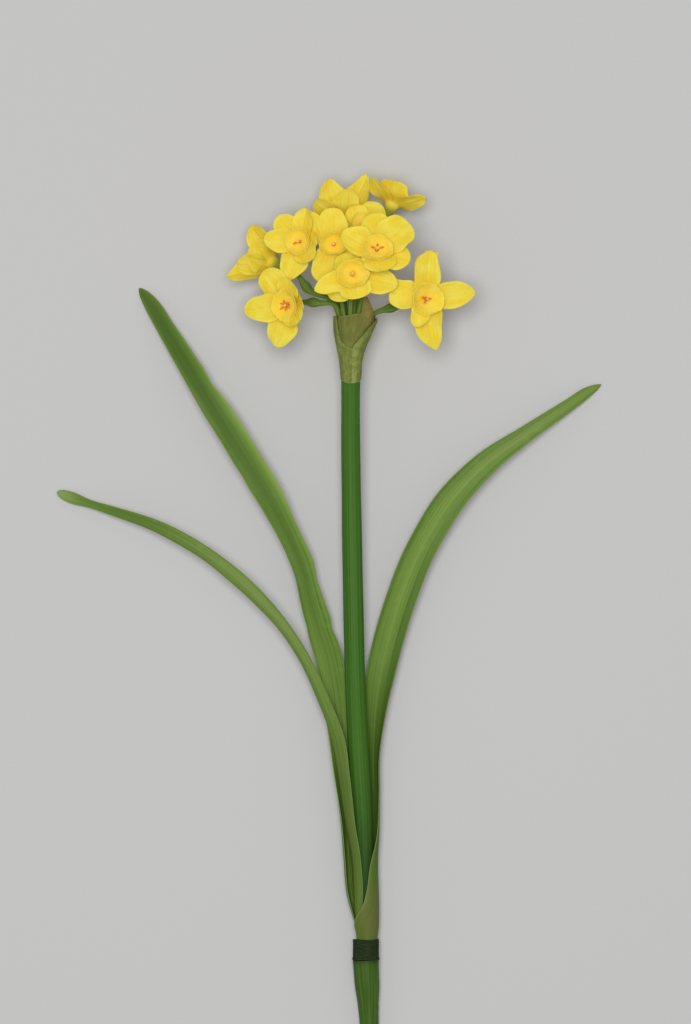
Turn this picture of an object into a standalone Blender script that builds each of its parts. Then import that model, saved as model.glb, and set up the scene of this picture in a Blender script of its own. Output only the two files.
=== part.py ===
"""A cut stem of a golden, many-flowered daffodil, lying on its back.

The design axes are in millimetres: X to the right, Y along the stem from its cut foot to the
head, Z up from the surface that it lies on. The florets on the near side look up.
"""

from math import cos, pi, radians, sin

import bpy
import numpy as np

MM = 0.001
COLLECTION = "daffodil"

# Where the middle of the finished stem's footprint lies in the design axes (mm).
ORIGIN = (-10.6, 220.5, 0.0)

# ---- stem: (x, y, z, radius) along the axis, mm
LOWER_STEM = [
    (9.8, 0.0, 4.7, 4.7),
    (9.5, 17.0, 5.4, 4.9),
    (9.1, 25.0, 5.8, 5.4),
    (8.7, 33.0, 6.3, 6.2),
    (8.3, 40.0, 6.5, 6.4),
    (8.0, 45.6, 6.7, 6.7),
]
SCAPE = [
    (8.0, 46.2, 6.9, 3.2),
    (7.8, 58.0, 7.5, 3.4),
    (7.6, 72.0, 8.1, 3.8),
    (7.4, 92.0, 8.9, 4.5),
    (6.8, 112.0, 9.8, 4.9),
    (4.2, 152.0, 11.6, 5.1),
    (2.5, 190.0, 14.0, 5.1),
    (1.6, 227.0, 15.9, 5.0),
    (0.7, 277.0, 19.6, 4.9),
    (0.3, 310.0, 22.4, 4.7),
    (0.3, 332.0, 24.5, 4.6),
    (0.4, 345.0, 25.9, 4.8),
    (0.6, 350.0, 26.4, 5.2),
]
BAND_CENTRE = (8.0, 51.2, 7.1)
BAND_LENGTH = 10.2
BAND_INNER_RADIUS = 6.15
BAND_OUTER_RADIUS = 6.5

# ---- leaves: rows along the leaf, from the base to the tip, mm and degrees
# (x, y, z of the midrib, width along the section, facing, bend of the section)
# facing turns about the leaf's run: 90 looks up, 0 looks right, 180 looks left.
LEAF_THICKNESS = 0.6
LEAF_CROWD = 1.3
RIGHT_LEAF = [
    (13.3, 46.4, 7.0, 28.8, 180, 310),
    (13.3, 57.0, 7.4, 28.8, 180, 310),
    (13.9, 63.0, 7.9, 33.0, 182, 296),
    (14.0, 71.0, 7.0, 28.0, 170, 225),
    (13.8, 79.0, 6.6, 24.0, 165, 190),
    (13.0, 94.0, 5.4, 21.0, 155, 160),
    (12.6, 108.0, 4.8, 17.5, 142, 120),
    (12.4, 128.0, 4.6, 15.5, 138, 95),
    (12.4, 150.0, 5.0, 15.0, 138, 78),
    (13.4, 170.0, 5.8, 14.5, 120, 62),
    (17.2, 197.0, 8.0, 15.8, 97, 48),
    (25.5, 227.0, 11.0, 15.6, 92, 40),
    (38.0, 257.0, 13.6, 15.4, 88, 32),
    (52.5, 279.5, 14.8, 14.8, 86, 28),
    (67.0, 294.5, 14.2, 12.6, 86, 26),
    (87.5, 309.5, 11.0, 9.0, 88, 26),
    (109.7, 324.5, 5.4, 6.4, 90, 26),
    (120.0, 331.6, 2.4, 5.0, 90, 20),
    (126.5, 335.2, 0.45, 1.6, 90, 10),
]
LEFT_LONG_LEAF = [
    (4.9, 46.4, 4.4, 6.2, 40, 88),
    (4.9, 57.0, 4.8, 6.3, 40, 92),
    (3.9, 64.0, 5.1, 8.2, 40, 94),
    (2.2, 70.0, 5.0, 10.4, 38, 100),
    (0.0, 79.0, 5.2, 12.0, 36, 100),
    (-1.5, 97.0, 5.6, 13.2, 36, 98),
    (-2.4, 113.0, 5.6, 14.4, 38, 94),
    (-4.2, 138.0, 5.6, 14.6, 50, 84),
    (-5.4, 160.0, 5.8, 14.2, 66, 70),
    (-7.4, 180.0, 6.6, 14.2, 82, 54),
    (-10.4, 197.0, 8.0, 14.2, 88, 44),
    (-14.8, 212.0, 9.4, 14.2, 90, 40),
    (-19.2, 227.0, 11.0, 12.4, 90, 38),
    (-22.8, 242.0, 12.4, 11.8, 90, 38),
    (-29.0, 257.0, 13.8, 11.4, 92, 36),
    (-36.5, 272.0, 15.0, 13.4, 92, 32),
    (-54.0, 302.0, 15.6, 14.6, 92, 30),
    (-73.0, 332.0, 13.0, 12.8, 92, 30),
    (-91.8, 362.0, 6.0, 9.2, 92, 34),
    (-101.0, 377.0, 2.2, 7.0, 90, 36),
    (-106.0, 383.6, 0.45, 3.0, 90, 14),
]
LEFT_LOW_LEAF = [
    (4.1, 63.0, 10.0, 2.8, -30, 40),
    (3.2, 70.0, 10.7, 7.0, -30, 84),
    (2.8, 79.0, 11.4, 9.2, -30, 98),
    (1.8, 97.0, 12.4, 9.0, -32, 86),
    (-0.4, 113.0, 13.8, 7.4, -44, 66),
    (-3.3, 138.0, 15.0, 7.2, -56, 50),
    (-5.8, 155.0, 15.8, 7.6, -60, 42),
    (-14.0, 177.5, 17.6, 7.0, -60, 36),
    (-24.0, 199.0, 19.6, 6.8, -60, 34),
    (-35.0, 215.5, 20.8, 7.0, -62, 32),
    (-47.0, 228.6, 21.4, 8.4, -64, 30),
    (-71.0, 249.0, 20.6, 7.8, -66, 28),
    (-95.0, 262.8, 16.2, 6.8, -70, 26),
    (-119.0, 271.4, 9.0, 4.8, -80, 24),
    (-131.0, 275.2, 5.2, 4.0, -90, 24),
    (-141.0, 278.6, 2.2, 5.8, -94, 22),
    (-147.5, 281.0, 0.6, 3.6, -92, 14),
]

# ---- spathe: (x of the middle, y, radius) up the cup, then its rim
SPATHE_WALL = 0.5
SPATHE = [
    (0.4, 334.8, 5.25),
    (0.6, 345.0, 5.9),
    (0.9, 351.5, 6.9),
    (1.4, 357.5, 8.4),
    (2.2, 363.0, 10.2),
    (2.6, 367.0, 10.9),
]
SPATHE_DEPTH = 0.9
SPATHE_LEFT_RISE = 4.0
SPATHE_POINT_RISE = 9.0
SPATHE_POINT_ANGLE = 48.0
CROWN = (0.6, 351.0, 26.6)

# ---- one floret's sizes, mm
TUBE_LENGTH = 11.0
TUBE_RADIUS = 1.7
PETAL_THICKNESS = 0.5
OUTER_THROAT = (3.6, 0.0)
INNER_THROAT = (3.3, 1.15)
CORONA_PROFILE = [(2.5, 1.9), (4.6, 2.9), (6.7, 5.2), (7.9, 7.6)]
CORONA_THICKNESS = 0.5
CORONA_SIDES = 10
STAMEN_PROFILE = [(1.0, -2.2), (1.2, 1.8), (1.9, 3.8), (1.8, 5.2), (0.7, 6.0)]
STALK_RADIUS = 1.25
OVARY_RADIUS = 2.2
OVARY_LENGTH = 8.0

GREEN = (0.09, 0.24, 0.04, 1.0)
LEAF_GREEN = (0.16, 0.32, 0.05, 1.0)
TAPE_GREEN = (0.03, 0.06, 0.02, 1.0)
PAPER_OLIVE = (0.24, 0.25, 0.08, 1.0)
PETAL_YELLOW = (0.88, 0.66, 0.03, 1.0)
CORONA_YELLOW = (0.90, 0.60, 0.02, 1.0)
ANTHER_ORANGE = (0.85, 0.25, 0.03, 1.0)

# ---- the florets: throat, facing, the crown seat of the stalk, bends of the stalk, how far the
# ovary lies below the flower tube, and the outer and inner petals, each as
# (direction, reach, lift, width) in degrees, mm, degrees and shares of the full width
FLORETS = {
    "right": {
        "throat": (37.3, 377.3, 44.0), "facing": (0.28, -0.05, 0.96), "seat": (4.8, -1.2),
        "bends": [(5.6, 364.0, 27.5), (12.6, 370.4, 29.0), (22.0, 373.4, 29.5)], "ovary": 13.0,
        "outer": [(80, 24, -4, 0.9), (167, 18, -12, 0.98), (276, 27, -6, 1.05)],
        "inner": [(9, 26.4, 0, 1.0), (86, 24.7, 6, 0.95), (246, 16, 15, 0.7)],
    },
    "low": {
        "throat": (1.25, 389.0, 54.0), "facing": (0.0, 0.08, 1.0), "seat": (0.0, 4.6),
        "bends": [(0.2, 366.0, 33.5), (0.4, 379.0, 36.0)], "ovary": 5.0,
        "outer": [(348, 23.8, -12, 1.02), (112, 13, -14, 1.0), (225, 18.5, -40, 1.0)],
        "inner": [(48, 9, -8, 0.7), (203, 21, -3, 0.8), (283, 12.5, -12, 1.15)],
    },
    "front": {
        "throat": (13.2, 400.6, 57.0), "facing": (0.08, 0.28, 0.95), "seat": (3.0, 3.6),
        "bends": [(3.6, 366.0, 32.5), (8.0, 384.0, 36.0)], "ovary": 5.0,
        "outer": [(90, 20.5, -6, 1.05), (345, 17.6, 0, 1.05), (225, 9, -30, 0.6)],
        "inner": [(44, 22, 0, 1.25), (158, 20, 12, 1.1), (282, 13, 20, 1.2)],
    },
    "centre": {
        "throat": (-8.0, 404.2, 42.0), "facing": (-0.05, 0.05, 1.0), "seat": (-3.0, 3.6),
        "bends": [(-3.0, 368.0, 32.0), (-6.2, 388.0, 30.0)], "ovary": 5.0,
        "outer": [(38, 10, -12, 0.8), (275, 17, -16, 0.8), (132, 25, -10, 0.6)],
        "inner": [(94, 18.7, -5, 1.05), (325, 13, -8, 1.0), (252, 20.5, -10, 1.1)],
    },
    "back": {
        "throat": (5.6, 412.5, 34.0), "facing": (0.12, 0.35, 0.93), "seat": (1.6, -0.4),
        "bends": [(1.8, 372.0, 27.5), (3.6, 392.0, 22.0)], "ovary": 5.0,
        "outer": [(56, 17, -2, 1.0), (170, 11, -5, 0.8), (285, 12, -10, 0.8)],
        "inner": [(110, 12, 8, 0.9), (352, 15, -2, 1.0), (230, 10, 0, 0.8)],
    },
    "left": {
        "throat": (-24.5, 405.7, 40.0), "facing": (-0.3, 0.05, 0.95), "seat": (-1.6, -0.6),
        "bends": [(-2.6, 370.0, 26.5), (-12.5, 386.0, 24.5)], "ovary": 5.0,
        "outer": [(134, 18, 2, 0.95), (2, 11, 30, 0.6), (251, 20.5, 6, 1.05)],
        "inner": [(175, 19, 5, 0.9), (76, 17.5, 8, 0.8), (306, 15, 34, 0.9)],
    },
    "far_left": {
        "throat": (-39.0, 396.0, 20.8), "facing": (-0.75, 0.32, -0.58), "seat": (-4.1, -2.2),
        "bends": [(-5.2, 368.0, 26.5), (-9.0, 376.6, 28.5), (-20.0, 381.6, 31.0)], "ovary": 14.0,
        "outer": [(222, 17, 25, 1.25), (345, 19, 32, 1.0), (100, 18, 32, 1.0)],
        "inner": [(258, 21.5, 30, 1.0), (171, 24.5, 26, 1.0), (45, 19.6, 31, 1.0)],
    },
    "low_left": {
        "throat": (-30.2, 374.4, 41.0), "facing": (-0.45, -0.10, 0.88), "seat": (-4.5, 1.0),
        "bends": [(-5.0, 367.0, 29.5), (-7.8, 374.8, 31.5), (-15.0, 375.4, 32.5)], "ovary": 10.0,
        "outer": [(130, 22, 0, 1.15), (251, 23, 0, 1.15), (15, 12, 26, 0.9)],
        "inner": [(189, 24.5, 5, 0.95), (75, 17, 32, 0.9), (320, 14, 31, 0.9)],
    },
    "top": {
        "throat": (-3.5, 418.0, 22.8), "facing": (-0.05, 0.78, -0.62), "seat": (-1.9, -4.2),
        "bends": [(-2.0, 368.0, 22.5), (-3.6, 392.0, 24.0)], "ovary": 5.0,
        "outer": [(281, 17.2, 26, 0.9), (205, 17, 24, 0.95), (65, 22, 24, 1.0)],
        "inner": [(239, 22, 27, 0.85), (308, 24.5, 28, 0.9), (100, 19, 27, 1.0)],
    },
    "top_right": {
        "throat": (21.0, 425.0, 21.9), "facing": (0.35, 0.85, -0.30), "seat": (1.9, -4.2),
        "bends": [(2.6, 371.0, 23.0), (8.0, 396.0, 20.0)], "ovary": 5.0,
        "outer": [(214, 18, 26, 1.0), (332, 18.5, 25, 1.1), (85, 23, 30, 1.0)],
        "inner": [(264, 15.5, 28.5, 1.1), (2, 17.5, 30, 1.0), (140, 20, 29, 1.0)],
    },
}
PETAL_WIDTH = 14.5
PETAL_CELLS = 3
PETAL_ROWS = (0.25, 0.55, 0.84, 1.0)
PETAL_SHAPE = ((0.0, 0.55), (0.15, 0.72), (0.35, 0.96), (0.55, 1.0), (0.75, 0.9), (0.9, 0.6), (1.0, 0.12))


def clear_scene():
    """Remove whatever the opened file holds."""
    for obj in list(bpy.data.objects):
        bpy.data.objects.remove(obj, do_unlink=True)


def material(name, colour, roughness):
    """A plain non-metallic surface."""
    mat = bpy.data.materials.new(name)
    mat.use_nodes = True
    shader = mat.node_tree.nodes["Principled BSDF"]
    shader.inputs["Base Color"].default_value = colour
    shader.inputs["Roughness"].default_value = roughness
    shader.inputs["Metallic"].default_value = 0.0
    return mat


def place(obj, frame, collection, finish):
    """Put an object in the part's collection, under the part's frame, with its finish."""
    collection.objects.link(obj)
    obj.parent = frame
    obj.data.materials.append(finish)
    return obj


def curve_tube(name, points, resolution):
    """A solid round stem through (x, y, z, radius) points, with filled ends."""
    curve = bpy.data.curves.new(name, "CURVE")
    curve.dimensions = "3D"
    curve.bevel_depth = MM
    curve.bevel_resolution = resolution
    curve.use_fill_caps = True
    spline = curve.splines.new("POLY")
    spline.points.add(len(points) - 1)
    for knot, (x, y, z, radius) in zip(spline.points, points):
        knot.co = (x * MM, y * MM, z * MM, 1.0)
        knot.radius = radius
    return bpy.data.objects.new(name, curve)


def grid_object(name, points, faces, thickness):
    """A closed shell of even thickness about an open sheet of points."""
    mesh = bpy.data.meshes.new(name)
    mesh.from_pydata([tuple(p) for p in np.asarray(points) * MM], [], faces)
    obj = bpy.data.objects.new(name, mesh)
    shell = obj.modifiers.new("Wall", "SOLIDIFY")
    shell.thickness = thickness * MM
    shell.offset = 0.0
    mesh.shade_smooth()
    return obj


def smooth_rows(rows, count, crowd=1.0):
    """Read rows of numbers along a smooth curve through them; crowd above 1 packs the start."""
    rows = np.asarray(rows, float)
    steps = np.linalg.norm(np.diff(rows[:, :3], axis=0), axis=1)
    knots = np.concatenate([[0.0], np.cumsum(steps)])
    slopes = np.gradient(rows, knots, axis=0)
    at = knots[-1] * np.linspace(0.0, 1.0, count) ** crowd
    k = np.clip(np.searchsorted(knots, at, side="right") - 1, 0, len(knots) - 2)
    span = (knots[k + 1] - knots[k])[:, None]
    u = ((at - knots[k]) / span[:, 0])[:, None]
    return (
        (2 * u**3 - 3 * u**2 + 1) * rows[k]
        + (u**3 - 2 * u**2 + u) * span * slopes[k]
        + (-2 * u**3 + 3 * u**2) * rows[k + 1]
        + (u**3 - u**2) * span * slopes[k + 1]
    )


def leaf(name, rows, stations, cells):
    """A strap leaf: a bent strip carried along its midrib."""
    rows = smooth_rows(rows, stations, LEAF_CROWD)
    runs = np.gradient(rows[:, :3], axis=0)
    points = []
    for (x, y, z, width, facing, bend), run in zip(rows, runs):
        run = run / np.linalg.norm(run)
        right = np.cross(run, (0.0, 0.0, 1.0))
        right /= np.linalg.norm(right)
        up = np.cross(right, run)
        normal = cos(radians(facing)) * right + sin(radians(facing)) * up
        across = np.cross(normal, run)
        bend = radians(max(bend, 1.0))
        radius = width / bend
        for j in range(cells + 1):
            turn = (j / cells - 0.5) * bend
            middle = np.array((x, y, z))
            points.append(middle + radius * sin(turn) * across + radius * (1 - cos(turn)) * normal)
    faces = strip_faces(stations, cells)
    return grid_object(name, points, faces, LEAF_THICKNESS)


def strip_faces(rows, cells, closed=False):
    """Quads over a grid of rows by cells, closed round if asked."""
    across = cells if closed else cells + 1
    return [
        (i * across + j, i * across + (j + 1) % across, (i + 1) * across + (j + 1) % across, (i + 1) * across + j)
        for i in range(rows - 1)
        for j in range(cells)
    ]


def ring(name, centre, length, inner, outer, steps):
    """A short tube about the Y axis, turned from a flat rectangle."""
    profile = [(outer, length / 2), (outer, -length / 2), (inner, -length / 2), (inner, length / 2)]
    mesh = bpy.data.meshes.new(name)
    mesh.from_pydata([(r * MM, y * MM, 0.0) for r, y in profile], [(0, 1), (1, 2), (2, 3), (3, 0)], [])
    obj = bpy.data.objects.new(name, mesh)
    obj.location = [c * MM for c in centre]
    turn = obj.modifiers.new("Turn", "SCREW")
    turn.axis = "Y"
    turn.steps = steps
    turn.render_steps = steps
    turn.use_merge_vertices = True
    turn.merge_threshold = 0.00001
    return obj


def spathe(name, sides):
    """The papery cup: rings up the stem's end, the rim rising at the left and to a point at the front right."""
    points = []
    z0 = CROWN[2]
    for i, (x, y, radius) in enumerate(SPATHE):
        lean = 0.11 * (y - CROWN[1])
        for j in range(sides):
            angle = 2 * pi * j / sides
            rise = 0.0
            if i == len(SPATHE) - 1:
                away = (angle - radians(SPATHE_POINT_ANGLE) + pi) % (2 * pi) - pi
                rise = SPATHE_LEFT_RISE * (0.5 - 0.5 * cos(angle))
                rise += SPATHE_POINT_RISE * max(0.0, cos(away)) ** 6
            depth = radius if i < 2 else radius * SPATHE_DEPTH
            points.append((x + radius * cos(angle), y + rise, z0 + lean + depth * sin(angle)))
    faces = strip_faces(len(SPATHE), sides, closed=True)
    return grid_object(name, points, faces, SPATHE_WALL)


def floret_axes(facing):
    """The floret's own right, up and outward directions."""
    out = np.asarray(facing, float)
    out = out / np.linalg.norm(out)
    right = np.array((1.0, 0.0, 0.0)) - out[0] * out
    right /= np.linalg.norm(right)
    return right, np.cross(out, right), out


def in_world(floret, local):
    """Turn points in the floret's own axes into design points."""
    right, up, out = floret_axes(floret["facing"])
    local = np.asarray(local, float)
    return np.asarray(floret["throat"]) + local @ np.array((right, up, out))


def midrib(throat, reach, lift):
    """Points (radius, height) along a petal's midrib, turning from the throat to its lift."""
    steps = 40
    at = (np.arange(steps) + 0.5) / steps
    angle = np.radians(lift + (55.0 - lift) * np.exp(-at / 0.07))
    length = reach - throat[0]
    radius = throat[0] + np.concatenate([[0.0], np.cumsum(np.cos(angle))]) * length / steps
    height = throat[1] + np.concatenate([[0.0], np.cumsum(np.sin(angle))]) * length / steps
    return np.linspace(0.0, 1.0, steps + 1), radius, height


def petal_edges(petals):
    """The angles that part three petals from each other round the throat."""
    turns = [radians(petal[0]) for petal in petals]
    edges = []
    for k, here in enumerate(turns):
        before = (here - turns[k - 1]) % (2 * pi)
        after = (turns[(k + 1) % len(turns)] - here) % (2 * pi)
        edges.append((here - before / 2, here, here + after / 2))
    return edges


def whorl(name, floret, petals, throat, tube, cup):
    """Three petals on one funnel. tube lists (radius, height) rings below the throat."""
    petals = sorted(petals)
    edges = petal_edges(petals)
    count = PETAL_CELLS * len(petals)
    turns = []
    for low, here, high in edges:
        for j in range(PETAL_CELLS):
            t = 2 * j / PETAL_CELLS - 1
            turns.append(here + (here - low) * t if t < 0 else here + (high - here) * t)
    points = [
        (r * cos(a), r * sin(a), h)
        for r, h in [*tube, throat]
        for a in turns
    ]
    faces = strip_faces(len(tube) + 1, count, closed=True)
    first = len(tube) * count
    for k, (azimuth, reach, lift, share) in enumerate(petals):
        at, radius, height = midrib(throat, reach, lift)
        here = radians(azimuth)
        last = [first + (k * PETAL_CELLS + j) % count for j in range(PETAL_CELLS + 1)]
        for s in PETAL_ROWS:
            r, h = np.interp(s, at, radius), np.interp(s, at, height)
            width = share * PETAL_WIDTH * np.interp(s, *zip(*PETAL_SHAPE))
            row = []
            for j in range(PETAL_CELLS + 1):
                t = 2 * j / PETAL_CELLS - 1
                side = t * width / 2
                row.append(len(points))
                points.append((
                    r * cos(here) - side * sin(here),
                    r * sin(here) + side * cos(here),
                    h + cup * t * t * min(1.0, s / 0.3),
                ))
            faces += [(last[j], last[j + 1], row[j + 1], row[j]) for j in range(PETAL_CELLS)]
            last = row
    return grid_object(name, in_world(floret, points), faces, PETAL_THICKNESS)


def corona(name, floret):
    """The small cup, an open turned shell with a slightly waved rim."""
    points = []
    for i, (r, h) in enumerate(CORONA_PROFILE):
        for j in range(CORONA_SIDES):
            a = 2 * pi * j / CORONA_SIDES
            points.append((r * cos(a), r * sin(a), h))
    faces = strip_faces(len(CORONA_PROFILE), CORONA_SIDES, closed=True)
    return grid_object(name, in_world(floret, points), faces, CORONA_THICKNESS)


def stamens(name, floret):
    """The anthers and the style as one club on the floret's axis."""
    points = [(0.0, 0.0, h) for _, h in STAMEN_PROFILE]
    world = in_world(floret, points)
    return curve_tube(name, [(*p, r) for p, (r, _) in zip(world, STAMEN_PROFILE)], 2)


def stalk(name, floret):
    """The flower stalk from the crown to the tube, with its swollen ovary at the end."""
    x0, y0, z0 = CROWN
    seat = np.array((x0 + floret["seat"][0], y0, z0 + floret["seat"][1]))
    out = floret_axes(floret["facing"])[2]
    end = np.asarray(floret["throat"]) - (TUBE_LENGTH + 0.5) * out
    start = np.concatenate([[seat], floret["bends"], [end - 3.5 * out, end]])
    path = smooth_rows(start, 13)
    left = np.concatenate([np.cumsum(np.linalg.norm(np.diff(path, axis=0), axis=1)[::-1])[::-1], [0.0]])
    swell = np.exp(-(((left - floret["ovary"]) / (OVARY_LENGTH * 0.42)) ** 2))
    radius = STALK_RADIUS + (OVARY_RADIUS - STALK_RADIUS) * swell
    return curve_tube(name, [(*p, r) for p, r in zip(path, radius)], 2)


def build():
    """Model every piece and set the footprint's middle on the origin."""
    clear_scene()
    collection = bpy.data.collections.new(COLLECTION)
    bpy.context.scene.collection.children.link(collection)
    frame = bpy.data.objects.new("daffodil_frame", None)
    frame.location = [-c * MM for c in ORIGIN]
    collection.objects.link(frame)

    green = material("stem_green", GREEN, 0.45)
    leaf_green = material("leaf_green", LEAF_GREEN, 0.5)
    tape_green = material("tape_green", TAPE_GREEN, 0.8)
    paper = material("spathe_paper", PAPER_OLIVE, 0.8)
    yellow = material("petal_yellow", PETAL_YELLOW, 0.55)
    gold = material("corona_yellow", CORONA_YELLOW, 0.5)
    orange = material("anther_orange", ANTHER_ORANGE, 0.7)

    def add(obj, finish):
        return place(obj, frame, collection, finish)

    add(curve_tube("lower_stem", LOWER_STEM, 4), green)
    add(curve_tube("scape", SCAPE, 4), green)
    band = ring("binding_tape", BAND_CENTRE, BAND_LENGTH, BAND_INNER_RADIUS, BAND_OUTER_RADIUS, 20)
    add(band, tape_green)
    add(leaf("right_leaf", RIGHT_LEAF, 26, 8), leaf_green)
    add(leaf("left_long_leaf", LEFT_LONG_LEAF, 26, 4), leaf_green)
    add(leaf("left_low_leaf", LEFT_LOW_LEAF, 24, 4), leaf_green)
    add(spathe("spathe", 16), paper)
    outer_tube = [(TUBE_RADIUS, -TUBE_LENGTH), (2.4, -3.6)]
    inner_tube = [(1.55, -2.6)]
    for place_name, floret in FLORETS.items():
        add(stalk(f"{place_name}_floret_stalk", floret), green)
        outer = whorl(f"{place_name}_floret_outer_petals", floret, floret["outer"], OUTER_THROAT, outer_tube, -0.5)
        add(outer, yellow)
        inner = whorl(f"{place_name}_floret_inner_petals", floret, floret["inner"], INNER_THROAT, inner_tube, 0.8)
        add(inner, yellow)
        add(corona(f"{place_name}_floret_corona", floret), gold)
        add(stamens(f"{place_name}_floret_stamens", floret), orange)


build()
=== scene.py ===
"""The looks of a cut, many-flowered golden daffodil that lies on its back.

Lengths are in millimetres on the design axes: X to the right, Y along the stem from its cut foot
to the head, Z up from the surface that it lies on. The binding tape of the solid model anchors
those axes, and the last step of every piece turns its points into metres of the frame.
"""

import logging
import math
from dataclasses import dataclass, field
from enum import Enum

import bpy
import numpy as np
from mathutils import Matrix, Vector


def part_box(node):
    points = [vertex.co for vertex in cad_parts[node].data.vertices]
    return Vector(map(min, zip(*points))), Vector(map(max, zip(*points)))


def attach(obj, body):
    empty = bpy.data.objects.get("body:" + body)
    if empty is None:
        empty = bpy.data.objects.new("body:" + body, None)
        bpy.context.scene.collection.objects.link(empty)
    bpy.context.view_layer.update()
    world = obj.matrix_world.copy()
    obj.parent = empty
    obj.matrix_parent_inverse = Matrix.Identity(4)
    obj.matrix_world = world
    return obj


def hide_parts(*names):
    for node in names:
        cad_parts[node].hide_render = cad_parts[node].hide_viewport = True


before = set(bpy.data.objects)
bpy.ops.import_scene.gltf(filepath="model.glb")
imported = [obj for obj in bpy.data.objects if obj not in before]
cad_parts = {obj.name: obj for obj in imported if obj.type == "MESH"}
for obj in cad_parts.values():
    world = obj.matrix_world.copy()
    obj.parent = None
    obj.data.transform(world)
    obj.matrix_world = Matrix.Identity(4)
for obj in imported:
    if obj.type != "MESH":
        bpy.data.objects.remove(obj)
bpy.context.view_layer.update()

Array = np.ndarray
Colour = tuple[float, float, float]
Point = tuple[float, float, float]
Look = bpy.types.Material
Socket = bpy.types.NodeSocket

MM = 0.001
BODY = "root"
BAND_CENTRE = np.array((8.0, 51.2, 7.1))
UP = np.array((0.0, 0.0, 1.0))
SHARP_ANGLE = math.radians(50.0)
QUARTER = math.pi / 2
log = logging.getLogger("daffodil")


# ---------------------------------------------------------------- curves


def ease(start: float, end: float, value: Array) -> Array:
    """A smooth step: 3x^2 - 2x^3, where x runs from 0 at start to 1 at end.

    Args:
        start: Where the step begins.
        end: Where it is complete.
        value: Where it is read.

    Returns:
        Numbers from 0 to 1, of value's shape.
    """
    x = np.clip((value - start) / (end - start), 0.0, 1.0)
    return x * x * (3.0 - 2.0 * x)


def hump(centre: float, spread: float, value: Array) -> Array:
    """A bell: exp(-((value - centre) / spread)^2)."""
    return np.exp(-(((value - centre) / spread) ** 2))


def plateau(bounds: tuple[float, ...], value: Array) -> Array:
    """A smooth rise, a flat top and a smooth fall.

    Args:
        bounds: Where the rise starts and ends, and where the fall starts and ends.
        value: Where it is read.

    Returns:
        Numbers from 0 to 1, of value's shape.
    """
    return ease(*bounds[:2], value) * (1 - ease(*bounds[2:], value))


def unit(vectors: Array) -> Array:
    """Vectors of the same directions and length 1."""
    return vectors / np.linalg.norm(vectors, axis=-1, keepdims=True)


def around(count: int) -> Array:
    """Evenly spaced angles round a circle, radians, as one row."""
    return np.linspace(0.0, 2 * math.pi, count, endpoint=False)[None, :]


@dataclass(frozen=True)
class Wave:
    """A ripple on a wrapped surface: height sin(count angle + rate along + phase).

    Attributes:
        height: Half its height from trough to crest.
        count: How many crests it has round the section.
        rate: How fast its phase grows along the piece.
        phase: Its phase at the start, radians.
    """

    height: float
    count: float
    rate: float = 0.0
    phase: float = 0.0


def ripples(waves: tuple[Wave, ...], angle: Array, along: Array) -> Array:
    """The sum of waves.

    Args:
        waves: The waves.
        angle: The angle round the section, radians.
        along: The place along the piece, of the measure that their rates are for.

    Returns:
        Their sum, of the shape that angle and along have together.
    """
    return sum(w.height * np.sin(w.count * angle + w.rate * along + w.phase) for w in waves)


def through(rows: Array, shares: Array) -> Array:
    """Reads rows of numbers along a cubic Hermite curve through them.

    The knots lie at the run of the first three columns, the slopes are the central differences,
    and each span is h00 p0 + h10 m0 + h01 p1 + h11 m1.

    Args:
        rows: (n, k) numbers, of which the first three are a place.
        shares: Where to read, from 0 at the first row to 1 at the last.

    Returns:
        (len(shares), k) numbers.
    """
    rows = np.asarray(rows, float)
    steps = np.linalg.norm(np.diff(rows[:, :3], axis=0), axis=1)
    knots = np.concatenate([[0.0], np.cumsum(steps)])
    slopes = np.gradient(rows, knots, axis=0)
    at = knots[-1] * np.asarray(shares)
    k = np.clip(np.searchsorted(knots, at, side="right") - 1, 0, len(knots) - 2)
    span = (knots[k + 1] - knots[k])[:, None]
    u = ((at - knots[k]) / span[:, 0])[:, None]
    return (
        (2 * u**3 - 3 * u**2 + 1) * rows[k]
        + (u**3 - 2 * u**2 + u) * span * slopes[k]
        + (-2 * u**3 + 3 * u**2) * rows[k + 1]
        + (u**3 - u**2) * span * slopes[k + 1]
    )


# ---------------------------------------------------------------- surfaces


@dataclass
class Surface:
    """Points, the quads between them, and what each carries.

    Attributes:
        points: (n, 3) places, mm.
        quads: (m, 4) point numbers.
        uv: (m, 4, 2) coordinates of the quads' corners, across and along the piece.
        tones: Named numbers from 0 to 1 on the points, which the finishes read.
        caps: Closing polygons, as lists of point numbers.
    """

    points: Array
    quads: Array
    uv: Array
    tones: dict[str, Array] = field(default_factory=dict)
    caps: list[list[int]] = field(default_factory=list)


def weave(numbers: Array, across: Array, along: Array) -> tuple[Array, Array]:
    """Quads between the neighbours on a numbered grid.

    Args:
        numbers: (rows, columns) point numbers; a closed grid repeats its first column at the end.
        across: The coordinate across, broadcast to the grid.
        along: The coordinate along, broadcast to the grid.

    Returns:
        The (m, 4) quads, and their corners' (m, 4, 2) coordinates.
    """

    def corners(grid: Array) -> Array:
        """The grid's numbers at the four corners of each cell."""
        cells = np.stack([grid[:-1, :-1], grid[:-1, 1:], grid[1:, 1:], grid[1:, :-1]], axis=-1)
        return cells.reshape(-1, 4)

    shape = numbers.shape
    u, v = np.broadcast_to(across, shape), np.broadcast_to(along, shape)
    return corners(numbers), np.stack([corners(u), corners(v)], axis=-1)


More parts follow.
